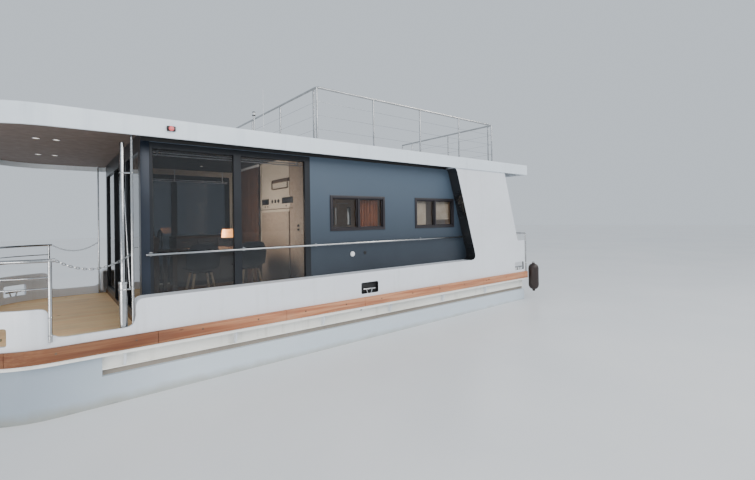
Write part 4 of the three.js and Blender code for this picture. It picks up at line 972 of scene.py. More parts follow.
def addGrabRails():
    gear = {
        "start": 0.844, "end": 6.30, "y": 1.785, "wall": 1.7153, "z": 1.920, "radius": 0.014, "stems": 6,
        "inset": 0.06, "stem": 0.008, "rose": 0.024,
    }
    r, z, x0, x1 = gear["radius"], gear["z"], at(gear["end"]), at(gear["start"])
    reach = x1 - x0
    profile = [(0, 0), (r * 0.7, 0.001), (r, 0.006), (r, reach - 0.006), (r * 0.7, reach - 0.001), (0, reach)]
    for side, sideName in bothSides:
        y, wall = side * gear["y"], side * gear["wall"]
        shapes = [revolved(profile, (x0, y, z), (1, 0, 0), 20)]
        for x in np.linspace(x1 - gear["inset"], x0 + gear["inset"], gear["stems"]):
            shapes += [bar((x, y, z), (x, wall, z), gear["stem"], 12),
                       disc((x, wall, z), (0, side, 0), gear["rose"], 0.005)]
        makePiece(f"{sideName}_grab_tube", shapes, stainless, (f"{sideName}_grab_rail",))


def addAftRails():
    gear = {
        "start": 7.85, "station": 8.2143, "side": 1.918, "ends": (0.96, -0.5), "starboardPost": -1.15,
        "mids": (1.38, 1.65), "foot": 0.936, "collarZ": 0.955, "collar": 0.0145, "mid": 0.008,
    }
    x, start, low = at(gear["station"]), at(gear["start"]), gear["foot"]
    for (side, sideName), end in zip(bothSides, gear["ends"]):
        y = side * gear["side"]
        shapes = [tube(filleted([(start, y, railLine), (x, y, railLine), (x, end, railLine)], 0.05),
                       steel["top"])]
        for foot in [y, end] if side > 0 else [y, gear["starboardPost"], end]:
            shapes += [bar((x, foot, low), (x, foot, railLine), steel["post"]),
                       disc((x, foot, low + 0.002), down, steel["post"], 0.005),
                       ring((x, foot, gear["collarZ"]), gear["collar"], 0.004)]
        shapes += [bar((x, y, z), (x, end, z), gear["mid"], 10) for z in gear["mids"]]
        shapes.append(disc((start, y, railLine), (1, 0, 0), steel["top"], 0.003))
        makePiece(f"{sideName}_aft_tubes", shapes, stainless, (f"{sideName}_aft_rail",))


def addSwimLadder():
    gear = {
        "x": -4.135, "hinge": 1.0, "sides": (0.52, 0.86), "top": 0.85, "rungs": (0.18, 0.39, 0.60),
        "radius": 0.015, "pin": (0.037, 0.008), "rung": 0.012, "tread": (0.0125, 0.03, 0.009, 0.0135),
    }
    x, hinge, (low, high) = gear["x"], gear["hinge"], gear["sides"]
    route = [(x, low, hinge), (x, low, hinge + gear["top"]), (x, high, hinge + gear["top"]), (x, high, hinge)]
    more, pin = gear["pin"]
    shapes = [tube(filleted(route, 0.05), gear["radius"]),
              bar((x, low - more, hinge), (x, high + more, hinge), pin, 12)]
    shapes += [bar((x, low, hinge + rise), (x, high, hinge + rise), gear["rung"], 12)
               for rise in gear["rungs"]]
    makePiece("swim_ladder_tubes", shapes, stainless, ("swim_ladder",), "swim_ladder")
    half, inset, z0, z1 = gear["tread"]
    treads = [roundedBox((x - half, low + inset, hinge + rise + z0),
                         (x + half, high - inset, hinge + rise + z1), 0.002)
              for rise in gear["rungs"]]
    makePiece("swim_ladder_treads", treads, blackPlastic, body="swim_ladder")


def addRoofLadder():
    gear = {
        "foot": (8.02, 1.1103), "head": (7.56, 4.0), "sides": (-1.17, -1.57), "stile": 0.017, "rungs": 8,
        "first": 1.36, "pitch": 0.28, "rung": 0.014, "hook": 3.32, "hookHalf": (0.014, 0.015),
        "hatch": 7.6003,
    }
    (footX, low), (headX, high) = gear["foot"], gear["head"]

    def xAt(z):
        return at(footX + (headX - footX) / (high - low) * (z - low))

    shapes = []
    wide, tall = gear["hookHalf"]
    for y in gear["sides"]:
        shapes += [bar((xAt(low + 0.006), y, low + 0.006), (xAt(high), y, high), gear["stile"]),
                   flange((xAt(low), y, low), 0.030, 0.012),
                   disc((xAt(high), y, high - 0.001), up, 0.0165, 0.006, 0.9),
                   roundedBox((xAt(gear["hook"]), y - wide, gear["hook"] - tall),
                              (at(gear["hatch"]), y + wide, gear["hook"] + tall), 0.003)]
    for z in gear["first"] + gear["pitch"] * np.arange(gear["rungs"]):
        shapes.append(bar(*((xAt(z), y, z) for y in gear["sides"]), gear["rung"], 14))
    makePiece("roof_ladder_tubes", shapes, stainless, ("roof_ladder",))


def addChains():
    # a parabola of links, each turned a quarter turn against the one before it
    gear = {
        "hook": 0.054, "side": 1.9513, "rise": 1.928, "post": (0.687, 1.866, 1.944), "sag": 0.1175,
        "pitch": 0.030, "length": 0.0195, "width": 0.0095, "wire": 0.0034,
    }
    for side, sideName in bothSides:
        start = np.array([at(gear["hook"]), side * gear["side"], gear["rise"]])
        end = np.array([at(gear["post"][0]), side * gear["post"][1], gear["post"][2]])
        t = np.linspace(0, 1, 400)[:, None]
        curve = start + (end - start) * t - np.array([0, 0, 4 * gear["sag"]]) * t * (1 - t)
        travelled = np.concatenate([[0], np.cumsum(np.linalg.norm(np.diff(curve, axis=0), axis=1))])
        count = int(travelled[-1] / gear["pitch"])

        def spot(mark):
            return np.array([np.interp(mark, travelled, curve[:, axis]) for axis in range(3)])

        links = []
        for index, mark in enumerate((np.arange(count) + 0.5) * travelled[-1] / count):
            along = unit(spot(mark + 0.004) - spot(mark - 0.004))
            level = unit(np.cross(along, up))
            across = level if index % 2 else np.cross(level, along)
            links.append(loop(spot(mark), along * gear["length"], across * gear["width"], gear["wire"],
                              (14, 6)))
        makePiece(f"{sideName}_chain_links", links, stainless, (f"{sideName}_gate_chain",))


def addMast():
    mast = {
        "x": at(2.83), "antenna": (at(2.90), 0.24), "top": 4.55, "foot": 4.125, "lamp": 4.20, "tube": 0.015,
        "cap": 0.028, "base": (0.03, -0.06, 0.30, 0.0077), "socket": (0.014, 0.094), "flange": 0.028,
    }
    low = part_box("roof_mast")[0][2]
    xMast, (x, y), foot, lamp, cap = mast["x"], mast["antenna"], mast["foot"], mast["lamp"], mast["cap"]
    margin, y0, y1, thick = mast["base"]
    radius, rise = mast["socket"]
    tubes = [roundedBox((x - margin, y0, low), (xMast + margin, y1, low + thick), 0.003),
             bar((xMast, 0, low + 0.004), (xMast, 0, foot + 0.004), mast["tube"]),
             bar((x, y, low + 0.004), (x, y, low + rise), radius)]
    tubes += [flange((*place, low + 0.007), mast["flange"], 0.012) for place in ((xMast, 0), (x, y))]
    makePiece("mast_tubes", tubes, stainless, ("roof_mast",))
    capProfile = [(0, lamp - 0.018), (cap, lamp - 0.018), (cap - 0.001, lamp - 0.005), (0.018, lamp),
                  (0, lamp)]
    footProfile = [(0, foot), (cap, foot), (cap, foot + 0.016), (0, foot + 0.016)]
    makePiece("mast_light_caps", [revolved(p, (xMast, 0, 0)) for p in (capProfile, footProfile)],
              blackPlastic)
    lens = [(0, foot + 0.015), (cap - 0.003, foot + 0.015), (cap - 0.003, lamp - 0.017), (0, lamp - 0.017)]
    makePiece("mast_light_lens", revolved(lens, (xMast, 0, 0)), whitePlastic)
    whip = [(0, low + 0.09), (0.009, low + 0.09), (0.009, low + 0.2), (0.005, low + 0.21),
            (0.0025, mast["top"]),
            (0, mast["top"])]
    makePiece("antenna_whip", revolved(whip, (x, y, 0), sides=12), whitePlastic)


for build in (addStrakes, addRibs, addTerraceRails, addBowGate, addRoofRail, addRoofPosts, addMooringPole,
              addGrabRails, addAftRails, addSwimLadder, addRoofLadder, addChains, addMast):
    build()
print("strakes, rails, posts and ladders made")

# Sides: window sashes, gaskets, trims, lights, the inlet cap and the vent


def ringPlate(x0, x1, z0, z1, width, y0, y1, edge=0.002):
    # four square bars round the opening x0..x1, z0..z1, outside it by width
    bars = ((x0 - width, x1 + width, z0 - width, z0), (x0 - width, x1 + width, z1, z1 + width),
            (x0 - width, x0, z0, z1), (x1, x1 + width, z0, z1))
    return [roundedBox((a, y0, c), (b, y1, d), edge) for a, b, c, d in bars]


def addSashes():
    sash = {
        "windows": ((3.290, 3.815, 4.348), (5.046, 5.552, 6.070)), "low": 2.155, "high": 2.608, "rim": 0.042,
        "bar": 0.016, "outer": 1.7085, "depth": 0.012, "glass": 1.6868, "play": 0.0005,
        "seal": (0.0004, 0.006, 0.008), "latch": ((0.044, 0.007, 2.33), (0.056, -0.004, 2.43)),
    }
    w, rim, play = sash["bar"], sash["rim"], sash["play"]
    z0, z1 = sash["low"] + play + w, sash["high"] - play - w
    near, far, width = sash["seal"]
    for side, sideName in bothSides:
        frames, seals = [], []
        outer, glass = side * sash["outer"], side * sash["glass"]
        for start, mullion, end in sash["windows"]:
            for first, last in ((start + rim, mullion - rim / 2), (mullion + rim / 2, end - rim)):
                opening = (at(last) + play + w, at(first) - play - w, z0, z1)
                frames += ringPlate(*opening, w, outer, outer - side * sash["depth"])
                seals += ringPlate(*opening, width, glass + side * near, glass + side * far)
            corners = [(at(mullion) + along, outer - inwards, z) for along, inwards, z in sash["latch"]]
            seals.append(roundedBox(*corners, 0.003))
        makePiece(f"{sideName}_sashes", frames, bronzeFrame)
        makePiece(f"{sideName}_sash_seals", seals, gasket)


def addGlazingTrim():
    trim = {
        "panes": ((0.930, 1.852), (1.949, 2.870)), "low": 1.200, "high": 3.122, "inset": 0.009,
        "glass": 1.6875, "seal": 0.0085, "face": 1.7155, "gap": (0.8085, 7.339, 3.200, 0.0115),
        "sill": (0.90, 2.955, 1.142, 1.160, 0.0195), "ceiling": 3.3015, "brackets": (1.0, 1.9, 2.8),
        "tracks": (3.060, 3.090), "trackY": 1.61, "track": (0.92, 2.90, 0.006, 0.012),
    }
    inset, ceiling = trim["inset"], trim["ceiling"]
    for side, sideName in bothSides:
        seals, glass, face, y = [], side * trim["glass"], side * trim["face"], side * trim["trackY"]
        for start, end in trim["panes"]:
            opening = (at(end) + inset, at(start) - inset, trim["low"] + inset, trim["high"] - inset)
            seals += ringPlate(*opening, trim["seal"], glass, glass + side * 0.007)
        makePiece(f"{sideName}_glazing_seals", seals, gasket)
        start, end, z, thick = trim["gap"]
        shadow = roundedBox((at(end), face, z), (at(start), face + side * thick, ceiling), 0.002)
        makePiece(f"{sideName}_shadow_gap", shadow, blackTrayAndShade)
        start, end, z0, z1, thick = trim["sill"]
        sill = roundedBox((at(end), face, z0), (at(start), face + side * thick, z1), 0.003)
        makePiece(f"{sideName}_pane_sill", sill, anthracite)
        start, end, half, tall = trim["track"]
        tracks = [roundedBox((at(end), y - half, z), (at(start), y + half, z + tall), 0.002)
                  for z in trim["tracks"]]
        tracks += [roundedBox((at(s) - 0.01, y - 0.004, trim["tracks"][0]),
                              (at(s) + 0.01, y + 0.004, ceiling), 0.001)
                   for s in trim["brackets"]]
        makePiece(f"{sideName}_curtain_tracks", tracks, whitePlastic)


def addSideFittings():
    fit = {
        "light": (1.076, 3.316, 0.045, 0.028), "cap": (3.686, 1.747, 0.040), "vent": (3.93, 1.752, 0.026),
        "wall": 1.7155, "fascia": 1.9555, "tray": (3.85, 1.892, 0.006), "slats": (-0.012, 0, 0.012),
        "body": (-0.001, 0.023), "lensFoot": 0.016, "play": 0.001,
        "lens": ((0, 0), (0.027, 0.0), (0.027, 0.012), (0.020, 0.022), (0.010, 0.026), (0, 0.027)),
    }
    for side, sideName in bothSides:
        out, wall = (0, side, 0), side * fit["wall"]
        station, z, long, tall = fit["light"]
        x, (y0, y1) = at(station), (side * (fit["fascia"] + step) for step in fit["body"])
        body = roundedBox((x - long, y0, z - tall), (x + long, y1, z + tall), 0.006)
        makePiece(f"{sideName}_light_body", body, blackPlastic)
        foot = (x, side * (fit["fascia"] + fit["lensFoot"]), z)
        makePiece(f"{sideName}_light_lens", revolved(fit["lens"], foot, out),
                  redLens if side > 0 else greenLens)
        station, z, r = fit["cap"]
        profile = [(0, 0), (r, 0), (r, 0.006), (r * 0.86, 0.012), (r * 0.55, 0.016), (0, 0.017)]
        bead = loop((at(station), wall + side * 0.006, z), (r * 0.9, 0, 0), (0, 0, r * 0.9), 0.004)
        makePiece(f"{sideName}_inlet_cap", [revolved(profile, (at(station), wall, z), out), bead],
                  whitePlastic)
        station, z, r = fit["vent"]
        slats = [block((at(station), wall + side * 0.005, z + dz), (r * 0.7, 0.003, 0.003), 0.001)
                 for dz in fit["slats"]]
        makePiece(f"{sideName}_vent", [disc((at(station), wall, z), out, r, 0.004), *slats], blackPlastic)
        station, y, thick = fit["tray"]
        x, half, play = at(station), niches["half"] - fit["play"], fit["play"]
        tray = roundedBox((x - half, side * y, niches["low"] + play),
                          (x + half, side * (y + thick), niches["high"] - play), 0.002)
        makePiece(f"{sideName}_niche_tray", tray, blackTrayAndShade)


def addCeilingSpots():
    spots = {
        "terrace": ("spot_rings", "spot_lamps", 3.2898, 0.003, (0.09, -0.10), 0.70),
        "saloon": ("saloon_spot_rings", "saloon_spots", 3.3015, 0.004, (1.35, 2.2, 2.85), 0.9),
    }
    for ringName, lampName, z, depth, stations, y in spots.values():
        places = [(at(s), side * y) for s in stations for side in (1, -1)]
        makePiece(ringName, [ring((*place, z - 0.001), 0.034, 0.005) for place in places], stainless)
        makePiece(lampName, [disc((*place, z), down, 0.031, depth) for place in places], spotGlow)


for build in (addSashes, addGlazingTrim, addSideFittings, addCeilingSpots):
    build()
print("windows, trims and lights made")

# Stern: the outboard motor, its bracket and propeller, the fenders and the rear door's fittings


def oval(x, z, length, width, power=2.0, sides=40):
    # x + a |cos t|^(2/n), y = b |sin t|^(2/n)
    c, s = np.cos(turns(sides)), np.sin(turns(sides))
    along = length * np.sign(c) * np.abs(c) ** (2 / power)
    across = width * np.sign(s) * np.abs(s) ** (2 / power)
    return np.column_stack([x + along, across, np.full(sides, z)])


def addMotor():
    # the sections are a height and two shares of the half length and half width
    motor = {
        "cowl": (-4.690, 0.2395, 0.1545), "leg": (-4.7225, 0.0725, 0.040), "axis": 0.145, "gearcase": -4.700,
        "cowlSections": ((1.082, 0.88, 0.80), (1.092, 0.93, 0.90), (1.125, 0.965, 0.95), (1.170, 0.985, 0.98),
                         (1.230, 1.0, 1.0), (1.310, 1.0, 1.0), (1.370, 0.985, 0.965), (1.415, 0.95, 0.91),
                         (1.445, 0.89, 0.82), (1.463, 0.78, 0.69), (1.471, 0.60, 0.50), (1.474, 0.30, 0.25)),
        "bandSections": ((1.185, 0.992, 0.988), (1.190, 0.9995, 0.999), (1.206, 0.9995, 0.999),
                         (1.211, 0.995, 0.993)),
        "legSections": ((0.150, 0.72, 0.80), (0.185, 0.80, 0.85), (0.30, 0.90, 0.90), (0.60, 0.96, 1.0),
                        (0.95, 1.0, 1.1), (1.03, 1.0, 1.3), (1.085, 1.0, 1.7)),
        "caseProfile": ((0, -0.170), (0.012, -0.167), (0.024, -0.150), (0.036, -0.115), (0.043, -0.07),
                        (0.0447, -0.02), (0.0447, 0.075), (0.042, 0.098), (0.040, 0.1078), (0, 0.1078)),
        "plate": (8.865, 0.3003, 0.3117, 0.134, 0.0795),
        "skeg": ((8.88, 0.031), (8.862, 0.125), (8.725, 0.125), (8.83, 0.031)), "skegThick": 0.0136,
        "yokes": ((8.90, 8.68, 0.0595, 1.0305, 1.0885, 0.010), (8.89, 8.675, 0.0495, 0.6805, 0.7175, 0.008)),
        "pin": (8.70, 0.691, 1.059, 0.0164), "bolts": (8.71, 0.04, 1.0885),
        "inlets": (8.825, 0.0335, 0.215, 0.018), "vents": (-4.8325, 0.1405, 1.335, 0.026),
        "tiller": ((9.0395, 9.020), 0.03, (1.150, 1.176)), "anode": (8.955, 0.300),
    }
    options = {"body": "outboard_motor", "smooth": 60}

    def skin(part, sections, power, sides):
        x, a, b = motor[part]
        return lofted([oval(x, z, a * p, b * q, power, sides) for z, p, q in motor[sections]])

    makePiece("motor_cowl", skin("cowl", "cowlSections", 2.7, 48), blackPaint, ("outboard_motor",), **options)
    makePiece("cowl_band", skin("cowl", "bandSections", 2.7, 48), greyShell, **options)
    shapes = [skin("leg", "legSections", 2.0, 36)]
    shapes.append(revolved(motor["caseProfile"], (motor["gearcase"], 0, motor["axis"]), (-1, 0, 0), 36))
    station, z0, z1, a, b = motor["plate"]
    shapes.append(lofted([oval(at(station), z, a, b, 2.4, 40) for z in (z0, z1)]))
    half = motor["skegThick"] / 2
    shapes.append(extruded([(at(s), z) for s, z in motor["skeg"]], 2 * half,
                           lambda p: np.column_stack([p[:, 0], p[:, 2] - half, p[:, 1]])))
    makePiece("motor_leg", shapes, blackPaint, body="outboard_motor", smooth=50)
    yokes = [roundedBox((at(aft), -y, z0), (at(fore), y, z1), edge)
             for aft, fore, y, z0, z1, edge in motor["yokes"]]
    station, z0, z1, r = motor["pin"]
    yokes.append(bar((at(station), 0, z0), (at(station), 0, z1), r, 24))
    station, y, z = motor["bolts"]
    yokes += [disc((at(station), side * y, z), up, 0.009, 0.004, sides=6) for side in (-1, 1)]
    makePiece("motor_yokes", yokes, greyShell, body="outboard_motor")
    # four water inlets above each other in the leg and six vents in a row in the cowl
    station, y, z, pitch = motor["inlets"]
    marks = [((at(station), y, z + pitch * k), (0.022, 0.003, 0.003)) for k in range(4)]
    x, y, z, pitch = motor["vents"]
    marks += [((x + pitch * k, y, z), (0.006, 0.003, 0.022)) for k in range(6)]
    shapes = [block((x, side * y, z), half, 0.0025) for side in (1, -1) for (x, y, z), half in marks]
    (aft, fore), y, (z0, z1) = motor["tiller"]
    shapes.append(roundedBox((at(aft), -y, z0), (at(fore), y, z1), 0.005))
    station, z = motor["anode"]
    shapes.append(disc((at(station), 0, z), down, 0.022, 0.016))
    makePiece("motor_marks", shapes, blackPlastic, body="outboard_motor")


def addBracket():
    # each set of bolts: a station, half widths, heights, a radius and a depth
    plate = {"station": 8.555, "y": (-0.16, -0.09, 0.09, 0.16), "z": (0.74, 0.86), "bolt": (0.012, 0.008)}
    sides = ((8.36, 0.190, 0.89, 0.011, 0.007), (8.60, 0.144, 1.02, 0.020, 0.009))
    dressedNode("outboard_bracket", [blackPaint], bevel=0.004)
    dressedNode("outboard_swivel", [blackPaint], body="outboard_swivel", bevel=0.005)
    bolts = [disc((at(plate["station"]), y, z), (-1, 0, 0), *plate["bolt"], sides=6) for y in plate["y"]
             for z in plate["z"]]
    bolts += [disc((at(station), s * y, z), (0, s, 0), radius, depth, sides=6)
              for station, y, z, radius, depth in sides for s in (1, -1)]
    makePiece("bracket_bolts", bolts, stainless)


def addPropeller():
    prop = {
        "start": 8.9183, "axis": 0.145, "root": 0.031, "tip": 0.1118, "sweep": 0.30, "pitch": 0.04125,
        "middle": 0.029,
        "hub": ((0, 0), (0.031, 0), (0.0335, 0.006), (0.0335, 0.052), (0.030, 0.0575), (0.017, 0.0585),
                (0.017, 0.0625), (0.012, 0.0695), (0, 0.0697)),
    }
    x0, axis = at(prop["start"]), prop["axis"]
    makePiece("propeller_hub", revolved(prop["hub"], (x0, 0, axis), (-1, 0, 0), 36), blackPaint,
              ("propeller",), "propeller")
    # a blade is a helical sheet: radius along v, chord along u, x follows the angle by the pitch
    u, v = crossed(-1, 21, 16)
    radius = prop["root"] + (prop["tip"] - prop["root"]) * v
    chord = u * 0.50 * (0.72 + 0.62 * v) * np.sqrt(np.clip(1.001 - v ** 3, 0, 1))
    blades = []
    for start in turns(3):
        angle = chord + prop["sweep"] * v + start
        x = x0 - prop["middle"] - prop["pitch"] * chord
        blades.append(openSheet(x, radius * np.sin(angle), axis + radius * np.cos(angle)))
    makePiece("propeller_blades", blades, blackPaint, body="propeller", smooth=60, solidify=0.0045)


def addFenders():
    fender = {
        "place": (8.35, 2.020, 0.975), "half": 0.32, "radius": 0.108, "knot": (8.2143, 1.918), "neck": 0.040,
        "shoulder": (0.150, 0.105), "groove": 0.0015, "post": 0.0145, "strand": 0.0034, "twist": 0.0035,
    }
    station, y, z = fender["place"]
    r, h, neck, (low, tall) = fender["radius"], fender["half"], fender["neck"], fender["shoulder"]
    shoulder = [(neck + (r - neck) * math.cos(a), h - low + tall * math.sin(a))
                for a in np.linspace(0, math.pi / 2, 9)]
    upper = [*shoulder, (0.034, h - 0.040), (0.030, h - 0.012), (0.024, h - 0.001), (0, h)]
    ribs = [(r - fender["groove"] * (k % 2), low - h + 2 * (h - low) * (k + 1) / 12) for k in range(11)]
    profile = [*((p, -q) for p, q in reversed(upper)), *ribs, *upper]
    for side, sideName in bothSides:
        spot = np.array([at(station), side * y, z])
        makePiece(f"{sideName}_fender_body", revolved(profile, spot, sides=40), fenderVinyl,
                  (f"{sideName}_fender",), smooth=60)
        eye = spot + (0, 0, h - 0.010)
        post = np.array([at(fender["knot"][0]), side * fender["knot"][1], eye[2]])
        away = unit(post - eye)
        knot, level = post - away * fender["post"], unit(np.cross(away, up))
        s = np.linspace(0, 1, 60)[:, None]
        strands = []
        for k in range(3):
            # three strands twisted round the straight tie
            turn = 2 * math.pi * (s * 9 + k / 3)
            path = eye + (knot - eye) * s + fender["twist"] * (np.cos(turn) * level + np.sin(turn) * up)
            strands.append(tube(path, fender["strand"], 8))
        strands += [ring(post + (0, 0, dz), 0.0175, 0.0036, (20, 6)) for dz in (-0.006, 0.002)]
        strands.append(ring(eye, 0.030, 0.0045, (24, 6)))
        makePiece(f"{sideName}_fender_tie", strands, whitePlastic)


def addDoorFittings():
    door = {
        "face": 7.424, "y": -0.29, "rosettes": ((2.15, 0.026, 0.006), (2.08, 0.018, 0.005)), "moulding": 0.02,
        "panels": ((-0.24, 0.25, 1.26, 1.98), (-0.24, 0.25, 2.32, 2.98)), "x": (7.4268, 7.4235),
    }
    rosettes = [disc((at(door["face"]), door["y"], z), (-1, 0, 0), r, depth)
                for z, r, depth in door["rosettes"]]
    makePiece("rear_door_rosettes", rosettes, stainless, body="rear_door")
    trim, w, (x0, x1) = [], door["moulding"], (at(station) for station in door["x"])
    for y0, y1, z0, z1 in door["panels"]:
        for a, b, c, d in ((y0, y1, z0, z0 + w), (y0, y1, z1 - w, z1), (y0, y0 + w, z0, z1),
                           (y1 - w, y1, z0, z1)):
            trim.append(roundedBox((x0, a, c), (x1, b, d), 0.001))
    makePiece("rear_door_mouldings", trim, whitePaint, body="rear_door")


for build in (addMotor, addBracket, addPropeller, addFenders, addDoorFittings):
    build()
print("stern made")

# Saloon and cabin


def addPartitionFront():
    wall = {
        "face": 3.0097, "door": (-0.12, 0.95, 1.13, 2.43), "shelf": 2.485,
        "panel": (-0.12, 1.13, 2.505, 2.69),
        "rack": (0.375, 0.945, 2.81, 2.95), "rackOut": 0.032, "column": (0.985, 1.45), "head": 3.26,
        "screens": ((-0.08, 0.20), (0.72, 1.10)), "screenZ": (2.56, 2.66), "lift": 0.0107,
    }
    # rows of round instruments: places (y, z), radius, depth and how far they stand out
    dials = (
        ([(y, 2.61) for y in (0.34, 0.46, 0.58)], 0.032, 0.008, wall["lift"]),
        ([(y, 2.525) for y in (0.05, 0.16, 0.86)], 0.012, 0.008, wall["lift"]),
        ([(1.28, z) for z in (2.14, 2.20)], 0.018, 0.02, wall["lift"] + 0.006),
    )
    face, head, (columnY0, columnY1) = at(wall["face"]), wall["head"], wall["column"]

    def plate(y0, y1, z0, z1, thick, lift=hairline):
        return roundedBox((face + lift, y0, z0), (face + lift + thick, y1, z1), 0.003)

    y0, y1, z0, z1 = wall["door"]
    boards = [plate(y0, y1, z0, z1, 0.016), plate(columnY0, columnY1, z0, head, 0.012)]
    makePiece("partition_doors", boards, taupeBoard)
    lines = [plate(y0 - 0.012, y0 - 0.004, z0, head, 0.004), plate(y1 + 0.004, y1 + 0.030, z0, head, 0.004),
             plate(y0, y1 + 0.15, wall["shelf"] - 0.012, wall["shelf"] - 0.002, 0.022),
             plate(columnY1 + 0.002, columnY1 + 0.02, z0, head, 0.006)]
    makePiece("partition_joints", lines, woodDark)
    makePiece("instrument_plate", plate(*wall["panel"], 0.01), beigeBoard)
    screens = [plate(*ys, *wall["screenZ"], 0.01, wall["lift"]) for ys in wall["screens"]]
    screens += [disc((face + lift, y, z), (1, 0, 0), r, depth) for places, r, depth, lift in dials
                for y, z in places]
    makePiece("instruments", screens, blackPlastic)
    y0, y1, z0, z1 = wall["rack"]
    out = face + wall["rackOut"]
    rack = [tube(filleted([(out, y0, z1), (out, y0, z0), (out, y1, z0), (out, y1, z1)], 0.02, 5), 0.009, 10),
            plate(y0 - 0.02, y1 + 0.02, z1 - 0.035, z1 + 0.02, 0.02)]
    rack += [bar((face + lift, y, z), (out, y, z), 0.008, 10)
             for lift, y, z in ((0.015, y0, z1), (0.015, y1, z1), (hairline, y0 + 0.1, z0),
                                (hairline, y1 - 0.1, z0))]
    makePiece("coat_rack", rack, woodDark)


def pleats(y0, y1, x, depth, waves, z0, z1):
    # x + depth (1 + flare (1 - v)) sin(2 pi waves u), over u along the track and v up the height
    flare, ripple = 0.25, 0.22
    u, v = crossed(0, 24 * waves + 1, 30)
    turn = 2 * math.pi * waves * u
    swell = depth * (1 + flare * (1 - v)) * (np.sin(turn) + ripple * np.sin(turn * 1.63 + 4 * v))
    along = y0 + (y1 - y0) * u + 0.006 * np.sin(9 * u + 5 * v)
    grid = np.broadcast_arrays(x + swell, along, z0 + (z1 - z0) * v)
    widths = np.linalg.norm(np.diff(np.stack(grid, -1), axis=0), axis=2)
    return grid, float(widths.sum(0).mean()), z1 - z0


def hangCloth(name, grid, width, height, material, rests, replaces=()):
    piece = makePiece(name, openSheet(*grid), material, replaces, smooth=80)


def addCurtains():
    door = {"y": (-1.19, -0.16), "x": 1.150, "depth": 0.016, "waves": 11, "z": (1.14, 3.255),
            "track": (3.262, 3.3015)}
    fore = {"stations": (4.29, 3.86), "y": 1.600, "depth": 0.013, "waves": 7, "z": (1.90, 2.76),
            "rod": (4.38, 3.26, 2.775)}
    blinds = {
        "fore": (5.10, 5.40, 2.14), "aft": (5.60, 6.02, 2.26), "starboardAft": (5.57, 5.91, 2.12),
        "top": 2.70, "y": 1.628, "tube": 0.014,
    }
    (y0, y1), (z0, z1) = door["y"], door["track"]
    rail = roundedBox((door["x"] - 0.012, y0 - 0.03, z0), (door["x"] + 0.012, y1 + 0.03, z1), 0.003)
    makePiece("door_curtain_track", rail, whitePlastic)
    cloth = pleats(*door["y"], door["x"], door["depth"], door["waves"], *door["z"])
    hangCloth("door_curtain", *cloth, curtainCloth, "door_curtain_track", ("saloon_curtain",))
    start, end, top = fore["rod"]
    for side, sideName in bothSides:
        y = side * fore["y"]
        rods = [bar((at(start), y, top), (at(end), y, top), 0.009, 12)]
        rods += [bar((at(s), y, top), (at(s), side * 1.6545, top), 0.007, 10)
                 for s in (end + 0.02, start - 0.02)]
        makePiece(f"{sideName}_curtain_rod", rods, stainless)
        stations = (at(s) for s in fore["stations"])
        (across, along, rise), *size = pleats(*stations, y, fore["depth"], fore["waves"], *fore["z"])
        hangCloth(f"{sideName}_window_curtain", (along, across, rise), *size, ochreCloth,
                  f"{sideName}_curtain_rod")
        y, z1 = side * blinds["y"], blinds["top"]
        for index, key in enumerate(("fore", "aft" if side > 0 else "starboardAft")):
            first, last, z0 = blinds[key]
            tubeName = f"{sideName}_blind_tube_{index}"
            roll = bar((at(last) - 0.01, y, z1), (at(first) + 0.01, y, z1), blinds["tube"])
            makePiece(tubeName, roll, whitePlastic)
            u, v = crossed(0, 40, 40)
            sag = 0.0025 * np.sin(17 * v + 2 * u) * np.sin(3 * u + index)
            grid = (at(last) + (last - first) * u, y + side * sag, z0 + (z1 - z0) * v)
            hangCloth(f"{sideName}_blind_{index}", grid, last - first, z1 - z0, blindCloth, tubeName)


def addCabinPanels():
    # the panelled wall behind the fore window
    panels = {"y": ((0.40, 0.90), (0.95, 1.22), (1.25, 1.52)), "z": (1.13, 3.05), "thick": 0.014}
    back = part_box("saloon_partition")[0][0]
    x0, x1, (z0, z1) = back - panels["thick"], back - hairline, panels["z"]
    plates = [roundedBox((x0, y0, z0), (x1, y1, z1), 0.004) for y0, y1 in panels["y"]]
    makePiece("cabin_panels", plates, taupeBoard)


